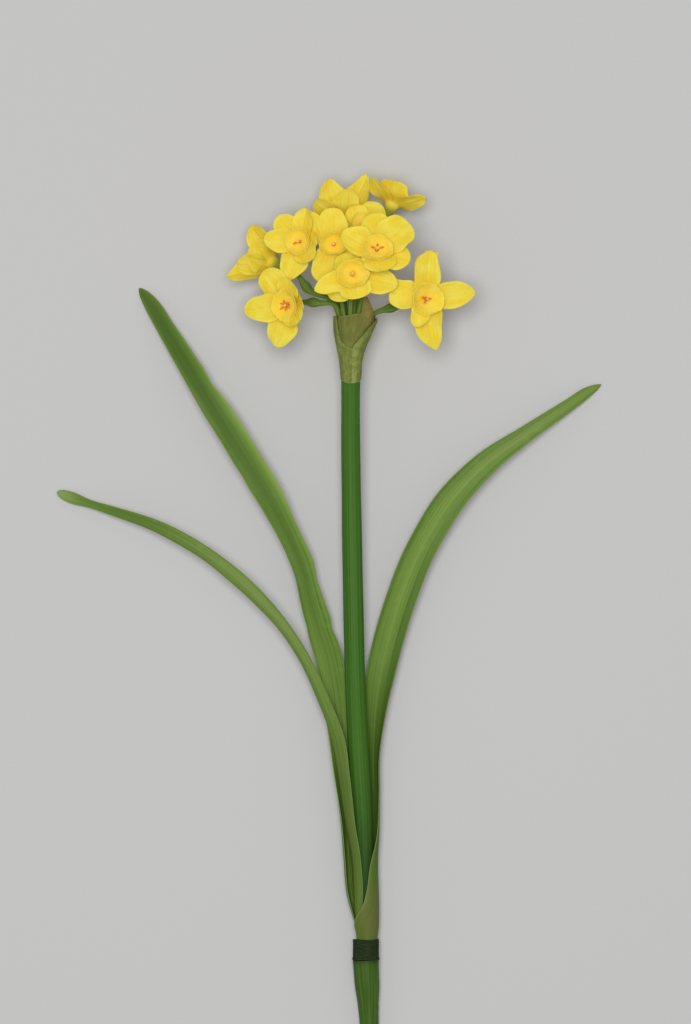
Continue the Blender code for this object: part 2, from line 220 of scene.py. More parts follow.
def sheet(points: Array, tones: dict[str, Array], closed: bool = False) -> Surface:
    """An open surface over a grid of points.

    Args:
        points: (rows, columns, 3) places.
        tones: Numbers of shape (rows, columns), or that broadcast to it.
        closed: Whether the last column joins the first.

    Returns:
        The surface, with both coordinates from 0 to 1.
    """
    rows, columns = points.shape[:2]
    numbers = np.arange(rows * columns).reshape(rows, columns)
    if closed:
        numbers = np.hstack([numbers, numbers[:, :1]])
    across = np.linspace(0.0, 1.0, numbers.shape[1])[None, :]
    quads, uv = weave(numbers, across, np.linspace(0.0, 1.0, rows)[:, None])
    flat = {name: np.broadcast_to(tone, (rows, columns)).ravel() for name, tone in tones.items()}
    return Surface(points.reshape(-1, 3), quads, uv, flat)


def normals(surface: Surface) -> Array:
    """Unit normals at the points: the sum of the crossed diagonals of the quads that meet there.

    Args:
        surface: The surface.

    Returns:
        (n, 3) directions.
    """
    a, b, c, d = (surface.points[surface.quads[:, k]] for k in range(4))
    face = np.cross(c - a, d - b)
    total = np.zeros_like(surface.points)
    for k in range(4):
        np.add.at(total, surface.quads[:, k], face)
    return total / np.maximum(np.linalg.norm(total, axis=1, keepdims=True), 1e-12)


def thicken(surface: Surface, thickness: Array) -> Surface:
    """A closed shell about an open surface.

    Each point moves half its thickness along and against its normal. A wall of quads joins the
    two skins along every edge that only one quad has.

    Args:
        surface: The middle of the shell.
        thickness: The wall at each point, mm.

    Returns:
        The closed surface, its faces pointing out.
    """
    count = len(surface.points)
    shift = normals(surface) * np.asarray(thickness).reshape(-1, 1) / 2
    starts, ends = surface.quads, np.roll(surface.quads, -1, axis=1)
    edge_uv = np.stack([surface.uv, np.roll(surface.uv, -1, axis=1)], axis=2)
    key = np.minimum(starts, ends) * count + np.maximum(starts, ends)
    _, inverse, seen = np.unique(key, return_inverse=True, return_counts=True)
    open_edge = seen[inverse].reshape(key.shape) == 1
    a, b = starts[open_edge], ends[open_edge]
    wall = np.stack([b, a, a + count, b + count], axis=1)
    wall_uv = edge_uv[open_edge][:, [1, 0, 0, 1]]
    return Surface(
        np.vstack([surface.points + shift, surface.points - shift]),
        np.vstack([surface.quads, surface.quads[:, ::-1] + count, wall]),
        np.concatenate([surface.uv, surface.uv[:, ::-1], wall_uv]),
        {name: np.concatenate([tone, tone]) for name, tone in surface.tones.items()},
    )


def tube(path: Array, radii: Array, sides: int, tones: dict[str, Array] | None = None) -> Surface:
    """A closed solid round a path: centre + r (cos a side + sin a over).

    The side direction is the tangent crossed with the direction that the path's tangents lean on
    least, so that the rings don't twist.

    Args:
        path: (n, 3) places of the centres.
        radii: (n,) or (n, sides) radii.
        sides: Points round each ring.
        tones: Numbers of shape (n, 1) or (n, sides).

    Returns:
        The solid, with a flat polygon on each end.
    """
    tangent = unit(np.gradient(path, axis=0))
    least = np.linalg.svd(tangent, full_matrices=True)[2][-1]
    side = unit(np.cross(tangent, least))
    over = np.cross(side, tangent)
    angle = around(sides)[..., None]
    ring = np.cos(angle) * side[:, None] + np.sin(angle) * over[:, None]
    radii = np.asarray(radii, float)
    radii = radii[:, None] if radii.ndim == 1 else radii
    points = path[:, None] + np.broadcast_to(radii, ring.shape[:2])[..., None] * ring
    solid = sheet(points, tones or {}, closed=True)
    last = (len(path) - 1) * sides
    solid.caps = [list(range(sides - 1, -1, -1)), list(range(last, last + sides))]
    return solid


def joined(surfaces: list[Surface]) -> Surface:
    """One surface made of several, which share their tones' names.

    Args:
        surfaces: The surfaces.

    Returns:
        Their points, quads, coordinates, tones and caps, one after another.
    """
    counts = np.cumsum([0] + [len(s.points) for s in surfaces[:-1]])
    return Surface(
        np.vstack([s.points for s in surfaces]),
        np.vstack([s.quads + first for s, first in zip(surfaces, counts)]),
        np.concatenate([s.uv for s in surfaces]),
        {name: np.concatenate([s.tones[name] for s in surfaces]) for name in surfaces[0].tones},
        [[n + int(first) for n in cap] for s, first in zip(surfaces, counts) for cap in s.caps],
    )


def faces_out(surface: Surface) -> Surface:
    """The closed surface with its faces turned out, judged by the sign of its volume.

    Args:
        surface: The closed surface.

    Returns:
        The same surface, turned inside out where its volume was below zero.
    """
    a, b, c, d = (surface.points[surface.quads[:, k]] for k in range(4))
    volume = np.sum(a * np.cross(b, c)) + np.sum(a * np.cross(c, d))
    for cap in surface.caps:
        corners = surface.points[cap]
        volume += np.sum(corners[0] * np.cross(corners[1:-1], corners[2:]).sum(axis=0))
    if volume >= 0:
        return surface
    caps = [cap[::-1] for cap in surface.caps]
    return Surface(surface.points, surface.quads[:, ::-1], surface.uv[:, ::-1], surface.tones, caps)


def design_shift() -> Array:
    """How far the frame's axes lie from the design axes, mm, read at the binding tape."""
    low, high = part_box("binding_tape")
    return (np.array(low) + np.array(high)) / 2 / MM - BAND_CENTRE


def add_piece(name: str, surface: Surface, look: Look, slot: str, *nodes: str) -> None:
    """Makes a closed surface one of the object's pieces, which rides on the root body.

    Args:
        name: The piece's name.
        surface: Its closed surface, in design millimetres.
        look: Its material.
        slot: The record's material slot. It is not used.
        *nodes: The solid model's nodes that it stands for.
    """
    surface = faces_out(surface)
    mesh = bpy.data.meshes.new(name)
    places = (surface.points + design_shift()) * MM
    mesh.from_pydata(places.tolist(), [], surface.quads.tolist() + surface.caps)
    corners = [surface.uv.reshape(-1, 2)]
    for cap in surface.caps:
        corners.append(np.full((len(cap), 2), (0.5, 0.0 if 0 in cap else 1.0)))
    mesh.uv_layers.new(name="piece").data.foreach_set("uv", np.vstack(corners).ravel())
    for tone, values in surface.tones.items():
        mesh.attributes.new(tone, "FLOAT", "POINT").data.foreach_set("value", values.astype(np.float32))
    mesh.materials.append(look)
    mesh.shade_smooth()
    mesh.set_sharp_from_angle(angle=SHARP_ANGLE)
    piece = bpy.data.objects.new(name, mesh)
    bpy.context.scene.collection.objects.link(piece)
    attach(piece, BODY)
    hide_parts(*nodes)
    log.info("%-34s %6d faces for %s", name, len(mesh.polygons), ", ".join(nodes))


# ---------------------------------------------------------------- finishes


class Space(Enum):
    """The coordinates that a pattern follows."""

    OBJECT = "Object"
    PIECE = "UV"


class Shader:
    """One material's nodes, with a short call for each kind that the finishes share.

    Attributes:
        SPREAD: How far red, green and blue light spread in the tissue, as shares of SPREAD_LENGTH.
        SPREAD_LENGTH: The farthest spread, mm.
    """

    SPREAD = (1.0, 0.6, 0.1)
    SPREAD_LENGTH = 1.2

    def __init__(self, name: str, roughness: float, specular: float = 0.4, glow: float = 0.0) -> None:
        """Starts a material.

        Args:
            name: The material's name.
            roughness: Of the whole surface.
            specular: The specular level.
            glow: How much light spreads inside the tissue, from 0 to 1.
        """
        self.material = bpy.data.materials.new(name)
        self.material.use_nodes = True
        self.tree = self.material.node_tree
        self.surface = self.tree.nodes["Principled BSDF"]
        self.surface.inputs["Roughness"].default_value = roughness
        self.surface.inputs["Specular IOR Level"].default_value = specular
        self.surface.inputs["Subsurface Weight"].default_value = glow
        self.surface.inputs["Subsurface Radius"].default_value = self.SPREAD
        self.surface.inputs["Subsurface Scale"].default_value = self.SPREAD_LENGTH * MM

    def node(self, kind: str, **settings: object) -> bpy.types.Node:
        """A new node of a kind, with its settings.

        Args:
            kind: The node's type name.
            settings: Its properties.

        Returns:
            The node.
        """
        made = self.tree.nodes.new(kind)
        for key, value in settings.items():
            setattr(made, key, value)
        return made

    def feed(self, socket: Socket, value: object) -> None:
        """Links a socket to value if that is a socket, and else sets it.

        Args:
            socket: The input.
            value: A socket, a number or a colour.
        """
        if isinstance(value, Socket):
            self.tree.links.new(value, socket)
        elif socket.type == "RGBA" and len(value) == 3:
            socket.default_value = (*value, 1.0)
        else:
            socket.default_value = value

    def tone(self, name: str) -> Socket:
        """The number that the mesh carries under a name."""
        return self.node("ShaderNodeAttribute", attribute_name=name).outputs["Fac"]

    def place(self, space: Space, scale: Point = (1.0, 1.0, 1.0)) -> Socket:
        """Coordinates in a space, stretched by a scale.

        Args:
            space: Which coordinates.
            scale: The stretch along each of them.

        Returns:
            The coordinates' socket.
        """
        mapping = self.node("ShaderNodeMapping")
        self.feed(mapping.inputs["Vector"], self.node("ShaderNodeTexCoord").outputs[space.value])
        mapping.inputs["Scale"].default_value = scale
        return mapping.outputs["Vector"]

    def noise(self, place: Socket, scale: float, detail: float = 2.0) -> Socket:
        """Smooth noise from 0 to 1.

        Args:
            place: Where it is read.
            scale: How fine it is.
            detail: How many finer layers it has.

        Returns:
            The noise's socket.
        """
        made = self.node("ShaderNodeTexNoise")
        self.feed(made.inputs["Vector"], place)
        made.inputs["Scale"].default_value = scale
        made.inputs["Detail"].default_value = detail
        return made.outputs["Fac"]

    def band(self, value: Socket, start: float, end: float, low: float = 0.0, high: float = 1.0) -> Socket:
        """A smooth step of value, from low at start to high at end.

        Args:
            value: The number that is read.
            start: Where the step begins.
            end: Where it is complete.
            low: The result before it.
            high: The result after it.

        Returns:
            The result's socket.
        """
        made = self.node("ShaderNodeMapRange", interpolation_type="SMOOTHSTEP")
        inputs = {"Value": value, "From Min": start, "From Max": end, "To Min": low, "To Max": high}
        for key, number in inputs.items():
            self.feed(made.inputs[key], number)
        return made.outputs["Result"]

    def combine(self, operation: str, first: object, second: object) -> Socket:
        """Two numbers or sockets taken together by an operation such as ADD or MULTIPLY.

        Args:
            operation: The operation's name.
            first: A number or a socket.
            second: Another.

        Returns:
            The result's socket.
        """
        made = self.node("ShaderNodeMath", operation=operation)
        self.feed(made.inputs[0], first)
        self.feed(made.inputs[1], second)
        return made.outputs[0]

    def blend(self, factor: object, first: object, second: object) -> Socket:
        """A mix of two colours, from first at factor 0 to second at 1.

        Args:
            factor: A number or a socket.
            first: A colour or a socket.
            second: Another.

        Returns:
            The mix's socket.
        """
        made = self.node("ShaderNodeMix", data_type="RGBA")
        self.feed(made.inputs[0], factor)
        self.feed(made.inputs[6], first)
        self.feed(made.inputs[7], second)
        return made.outputs[2]

    def toned(self, colour: Socket, **tones: Colour) -> Socket:
        """Lays colours over another where the piece's tones of those names say so, in their order.

        Args:
            colour: The colour below.
            tones: The colour for each tone's name.

        Returns:
            The last mix's socket.
        """
        for name, over in tones.items():
            colour = self.blend(self.tone(name), colour, over)
        return colour

    def close(self, colour: Socket, height: Socket, strength: float, depth: float) -> Look:
        """Ends the material with its colour and its relief.

        Args:
            colour: The base colour.
            height: The relief, from 0 to 1.
            strength: How strongly the relief turns the normals.
            depth: The relief's depth, mm.

        Returns:
            The finished material.
        """
        bump = self.node("ShaderNodeBump")
        bump.inputs["Strength"].default_value = strength
        bump.inputs["Distance"].default_value = depth * MM
        self.feed(bump.inputs["Height"], height)
        self.feed(self.surface.inputs["Normal"], bump.outputs["Normal"])
        self.feed(self.surface.inputs["Base Color"], colour)
        return self.material


def srgb(red: int, green: int, blue: int) -> Colour:
    """A colour of display numbers from 0 to 255, as linear light.

    Args:
        red: From 0 to 255.
        green: The same.
        blue: The same.

    Returns:
        Three numbers from 0 to 1.
    """
    shares = np.array((red, green, blue)) / 255.0
    linear = np.where(shares <= 0.04045, shares / 12.92, ((shares + 0.055) / 1.055) ** 2.4)
    return tuple(float(x) for x in linear)


@dataclass(frozen=True)
class PetalFinish:
    """Soft, thin yellow tissue with fine veins that run from the throat to the tip.

    Attributes:
        name: The material's name.
        body: The main yellow.
        light: The yellow of its margins and highlights.
        deep: The golden tone of the veins, and of the throat, where it is partly the throat's own gold and
            partly painted shade.
        green: The tone of the tube's foot.
        veins: How many streaks cross the piece.
    """

    name: str
    body: Colour
    light: Colour
    deep: Colour
    green: Colour
    veins: float

    def material(self) -> Look:
        """Clouds and streaks of two yellows, golden in the throat, partly as painted shade, and paler at
        the margin, which on the cup's rim is painted light.

        Returns:
            The material.
        """
        s = Shader(self.name, roughness=0.6, specular=0.15, glow=0.35)
        streak = s.noise(s.place(Space.PIECE, (self.veins, 1.3, 1.0)), 1.0, 3.0)
        cloud = s.noise(s.place(Space.OBJECT), 150.0, 2.0)
        colour = s.blend(s.band(cloud, 0.38, 0.64), self.body, self.light)
        colour = s.blend(s.band(streak, 0.44, 0.7, 0.0, 0.3), colour, self.deep)
        # The "depth" tone is partly painted shade deep in the flower; on the cup the "margin" tone is a
        # painted highlight along the rim.
        colour = s.toned(colour, depth=self.deep, margin=self.light, foot=self.green)
        return s.close(colour, streak, 0.35, 0.25)


@dataclass(frozen=True)
class GreenFinish:
    """Smooth green stalk tissue with faint lengthwise lines.

    Attributes:
        name: The material's name.
        body: The main green.
        light: The green of its lines.
        dark: The green where the tone "dark" is 1, which on the stem's foot and scape is painted shade.
        lines: How many streaks go round.
    """

    name: str
    body: Colour
    light: Colour
    dark: Colour
    lines: float

    def material(self) -> Look:
        """Lengthwise streaks of two greens under a thin waxy bloom, darker by the "dark" tone, which on the
        stem's foot and scape is painted shade.

        Returns:
            The material.
        """
        s = Shader(self.name, roughness=0.5, specular=0.1)
        streak = s.noise(s.place(Space.PIECE, (self.lines, 1.2, 1.0)), 1.0, 3.0)
        mottle = s.noise(s.place(Space.OBJECT), 260.0, 3.0)
        colour = s.blend(s.band(streak, 0.36, 0.66), self.body, self.light)
        colour = s.blend(s.band(mottle, 0.5, 0.75, 0.0, 0.25), colour, self.light)
        colour = s.toned(colour, dark=self.dark, pale=self.light)
        return s.close(colour, s.combine("ADD", streak, s.combine("MULTIPLY", mottle, 0.3)), 0.3, 0.25)


@dataclass(frozen=True)
class LeafFinish:
    """A strap leaf's skin: parallel veins, a paler middle and a thin margin line.

    Attributes:
        name: The material's name.
        body: The main green.
        light: The green of the pale streaks and of the middle band.
        dark: The green of the dark streaks, and of the painted shade where the tone "dark" is 1.
        edge: The margin line's colour.
        brown: The colour of dry tissue.
    """

    name: str
    body: Colour
    light: Colour
    dark: Colour
    edge: Colour
    brown: Colour

    def material(self) -> Look:
        """Fine and broad streaks along the leaf, then the tones for middle, shade, edge and dry tissue.

        Returns:
            The material.
        """
        s = Shader(self.name, roughness=0.52, specular=0.12)
        fine = s.noise(s.place(Space.PIECE, (46.0, 5.0, 1.0)), 1.0, 2.0)
        broad = s.noise(s.place(Space.PIECE, (9.0, 3.0, 1.0)), 1.0, 3.0)
        mottle = s.noise(s.place(Space.OBJECT), 190.0, 3.0)
        colour = s.blend(s.band(broad, 0.4, 0.7, 0.0, 0.75), self.body, self.dark)
        colour = s.blend(s.band(fine, 0.48, 0.7, 0.0, 0.4), colour, self.light)
        colour = s.blend(s.band(mottle, 0.5, 0.8, 0.0, 0.35), colour, self.light)
        colour = s.toned(colour, pale=self.light, dark=self.dark)
        withered = s.combine("MULTIPLY", s.tone("brown"), s.band(mottle, 0.25, 0.6, 0.5, 1.0))
        colour = s.blend(withered, colour, self.brown)
        colour = s.toned(colour, edge=self.edge)
        return s.close(colour, s.combine("ADD", fine, s.combine("MULTIPLY", mottle, 0.5)), 0.4, 0.25)


@dataclass(frozen=True)
class PaperFinish:
    """The spathe's tissue: green and veined low down, dry and brown above.

    Attributes:
        name: The material's name.
        fresh: The living green.
        light: The light green of its veins and folds.
        dry: The olive brown of the papery part.
        tan: The light brown of the driest part.
    """

    name: str
    fresh: Colour
    light: Colour
    dry: Colour
    tan: Colour

    def material(self) -> Look:
        """Blotches and veins, from green to dry brown by the tones.

        Returns:
            The material.
        """
        s = Shader(self.name, roughness=0.7, specular=0.1)
        vein = s.noise(s.place(Space.PIECE, (34.0, 5.0, 1.0)), 1.0, 3.0)
        blotch = s.noise(s.place(Space.OBJECT), 420.0, 6.0)
        colour = s.blend(s.band(vein, 0.38, 0.7, 0.0, 0.6), self.fresh, self.light)
        colour = s.toned(colour, pale=self.light)
        dry = s.blend(s.band(blotch, 0.4, 0.75, 0.0, 0.5), self.dry, self.tan)
        dry = s.blend(s.band(vein, 0.5, 0.7, 0.0, 0.25), dry, self.tan)
        colour = s.blend(s.tone("dry"), colour, dry)
        colour = s.toned(colour, tan=self.tan)
        colour = s.blend(s.band(blotch, 0.46, 0.66, 0.0, 0.5), colour, self.dry)
        return s.close(colour, s.combine("ADD", blotch, vein), 0.5, 0.22)


@dataclass(frozen=True)
class CrepeFinish:
    """Waxed crepe tape: fine cross wrinkles, lighter on their crests.

    Attributes:
        name: The material's name.
        body: The tape's green.
        crest: The lighter tone of the wrinkles' crests.
    """

    name: str
    body: Colour
    crest: Colour

    def material(self) -> Look:
        """Wrinkles that run round the stem over a grainy ground.

        Returns:
            The material.
        """
        s = Shader(self.name, roughness=0.85, specular=0.05)
        wrinkle = s.noise(s.place(Space.PIECE, (10.0, 26.0, 1.0)), 1.0, 3.0)
        grain = s.noise(s.place(Space.OBJECT), 1400.0, 2.0)
        colour = s.blend(s.band(wrinkle, 0.42, 0.68), self.body, self.crest)
        colour = s.blend(s.band(grain, 0.45, 0.7, 0.0, 0.3), colour, self.crest)
        colour = s.toned(colour, pale=self.crest)
        return s.close(colour, s.combine("ADD", wrinkle, s.combine("MULTIPLY", grain, 0.3)), 0.7, 0.4)


@dataclass(frozen=True)
class PollenFinish:
    """Grainy pollen sacs or a smooth style, in two close tones.

    Attributes:
        name: The material's name.
        body: The main colour.
        crumb: The colour of the grains.
        grain: The size of the grains, in grains a metre.
    """

    name: str
    body: Colour
    crumb: Colour
    grain: float

    def material(self) -> Look:
        """Grains of the second tone over the first.

        Returns:
            The material.
        """
        s = Shader(self.name, roughness=0.75, specular=0.2, glow=0.1)
        crumb = s.noise(s.place(Space.OBJECT), self.grain, 2.0)
        return s.close(s.blend(s.band(crumb, 0.4, 0.62), self.body, self.crumb), crumb, 0.5, 0.15)


# ---------------------------------------------------------------- stem


@dataclass(frozen=True)
class Stem:
    """The pseudo-stem's foot below the binding, and the bare scape above it.

    Attributes:
        foot: (x, y, z, radius) along the foot, from the cut end up to the tape.
        scape: The same along the scape, up to the head's crown.
        sides: Points round a ring.
        rings: Rings along the scape.
        folds: How many sheath folds run along the foot.
        fold_depth: Their height, as a share of the radius.
        fold_turn: How far they turn from the cut to the tape, radians.
        cut_round: How far the cut edge is rounded, as a share of the radius.
        foot_ribs: The foot's fine ribs, as shares of the radius.
        scape_ribs: The scape's fine ribs and slow wander, as shares of the radius.
    """

    foot: tuple[tuple[float, ...], ...] = (
        (9.8, 0.0, 4.7, 4.7),
        (9.5, 17.0, 5.4, 4.9),
        (9.1, 25.0, 5.8, 5.4),
        (8.7, 33.0, 6.3, 6.2),
        (8.3, 40.0, 6.5, 6.4),
        (8.0, 45.95, 6.7, 6.6),
    )
    scape: tuple[tuple[float, ...], ...] = (
        (8.0, 46.2, 6.9, 3.2),
        (7.8, 58.0, 7.5, 3.4),
        (7.6, 72.0, 8.1, 3.8),
        (7.4, 92.0, 8.9, 4.5),
        (6.8, 112.0, 9.8, 4.9),
        (4.2, 152.0, 11.6, 5.1),
        (2.5, 190.0, 14.0, 5.1),
        (1.6, 227.0, 15.9, 5.0),
        (0.7, 277.0, 19.6, 4.9),
        (0.3, 310.0, 22.4, 4.7),
        (0.3, 332.0, 24.5, 4.6),
        (0.4, 345.0, 25.9, 4.8),
        (0.6, 350.0, 26.4, 5.2),
    )
    sides: int = 72
    rings: int = 260
    folds: int = 7
    fold_depth: float = 0.018
    fold_turn: float = 2.5
    cut_round: float = 0.06
    foot_ribs: tuple[Wave, ...] = (Wave(0.008, 19, 0.0, QUARTER),)
    scape_ribs: tuple[Wave, ...] = (
        Wave(0.010, 12, 1.5, QUARTER),
        Wave(0.006, 29, 0.0, QUARTER),
        Wave(0.008, 0, 21.0, 0.7),
        Wave(0.006, 0, 47.0),
    )

    def foot_surface(self) -> Surface:
        """The foot: r (1 + folds + fine ribs), with a small round at the cut edge.

        Returns:
            The closed solid, with painted shade in the troughs between its folds and at its top, under the
            tape's rim.
        """
        s = np.concatenate([[0.0, 0.002, 0.008], np.linspace(0.02, 1.0, 60)])[:, None]
        rows = through(np.array(self.foot), s[:, 0])
        angle = around(self.sides)
        fold = np.cos(self.folds * angle + self.fold_turn * s)
        round_end = 1 - self.cut_round * (1 - ease(0.0, 0.008, s))
        relief = self.fold_depth * (fold - 1) + ripples(self.foot_ribs, angle, s)
        radii = rows[:, 3:] * round_end * (1 + relief)
        # Painted shade: darker in the troughs between the folds, and at the top, where the foot meets the
        # tape's rim.
        dark = 0.14 * hump(-0.8, 0.35, fold) + 0.5 * ease(0.93, 1.0, s)
        pale = 0.35 * ease(0.2, 0.9, fold) * (1 - ease(0.3, 0.9, s))
        return tube(rows[:, :3], radii, self.sides, {"dark": dark, "pale": pale})

    def scape_surface(self) -> Surface:
        """The scape: r (1 + fine ribs + a slow wander), with painted shade low down, where the leaves wrap
        it.

        Returns:
            The closed solid.
        """
        s = np.linspace(0.0, 1.0, self.rings)[:, None]
        rows = through(np.array(self.scape), s[:, 0])
        angle = around(self.sides)
        radii = rows[:, 3:] * (1 + ripples(self.scape_ribs, angle, s))
        # Painted shade: darker low down, where the leaves wrap the scape.
        dark = 0.9 * (1 - ease(0.05, 0.36, s)) + 0.0 * angle
        pale = 0.08 * ease(0.75, 0.97, s) + 0.0 * angle
        return tube(rows[:, :3], radii, self.sides, {"dark": dark, "pale": pale})

    def build(self, foot_look: Look, look: Look) -> None:
        """Adds both pieces.

        Args:
            foot_look: The foot's material.
            look: The scape's material.
        """
        add_piece("stem_foot", self.foot_surface(), foot_look, "stem_green", "lower_stem")
        add_piece("flower_scape", self.scape_surface(), look, "stem_green", "scape")


@dataclass(frozen=True)
class BindingTape:
    """A short wrap of crepe tape, with a flared lower rim and a loose outer end.

    Attributes:
        length: Along the stem, mm.
        inner: The wrap's inner radius, mm.
        outer: Its outer radius, mm.
        foot_flare: How far its lower rim flares, mm.
        top_flare: How far its upper rim flares, mm.
        overlap: The step at its loose end, mm.
        edge_wave: How far its rims wave along the stem, mm.
        wrinkles: The heights of its wrinkles across the stem and of the slanting ones, mm.
        slant: How far it turns round the stem from rim to rim, radians.
        loose_end: (start, top, end of top, end) of the overlap round the stem, radians.
    """

    length: float = 10.2
    inner: float = 6.1
    outer: float = 6.5
    foot_flare: float = 0.42
    top_flare: float = 0.12
    overlap: float = 0.14
    edge_wave: float = 0.18
    wrinkles: tuple[float, float] = (0.05, 0.04)
    slant: float = 0.9
    loose_end: tuple[float, ...] = (1.2, 1.3, 2.6, 2.75)

    def surface(self) -> Surface:
        """The wrap: r + flares at the rims + wrinkles + a step where the end overlaps.

        Returns:
            The closed shell.
        """
        along = np.linspace(-0.5, 0.5, 44)[:, None]
        angle = around(120)
        slant = angle + self.slant * along
        flare = self.foot_flare * (1 - ease(-0.5, -0.34, along)) + self.top_flare * ease(0.4, 0.5, along)
        across, slanting = self.wrinkles
        wrinkle = across * np.sin(58 * along + 2.0 * np.sin(3 * angle)) + slanting * np.sin(9 * slant)
        step = self.overlap * plateau(self.loose_end, slant)
        radius = (self.inner + self.outer) / 2 + flare + wrinkle + step
        y = along * (self.length + 2 * self.edge_wave * np.sin(3 * angle + 0.6))
        points = np.stack([radius * np.cos(angle), y, radius * np.sin(angle)], axis=-1)
        pale = 0.5 * ease(0.28, 0.42, flare) + 0.4 * hump(1.27, 0.05, slant)
        return thicken(sheet(points + BAND_CENTRE, {"pale": pale}, closed=True), self.outer - self.inner)

    def build(self, look: Look) -> None:
        """Adds the wrap with its material."""
        add_piece("crepe_binding", self.surface(), look, "tape_green", "binding_tape")


# ---------------------------------------------------------------- leaves


class Margin(Enum):
    """The side of a leaf, as the sign of its coordinate across."""

    FIRST = -1.0
    LAST = 1.0


@dataclass(frozen=True)
class Nick:
    """A place where a margin is drawn in.

    Attributes:
        margin: Which margin.
        along: Where, as a share of the leaf's length.
        depth: How far, as a share of the half width.
        spread: Its half length, as a share of the leaf's length.
    """

    margin: Margin
    along: float
    depth: float
    spread: float


@dataclass(frozen=True)
class Patch:
    """A soft patch of a tone on a leaf.

    Attributes:
        tone: The tone's name.
        along: Its middle along the leaf, as a share.
        across: Its middle across, from -1 to 1.
        length: Its half length, as a share.
        width: Its half width, of the same measure as across.
        strength: The tone at its middle.
    """

    tone: str
    along: float
    across: float
    length: float
    width: float
    strength: float


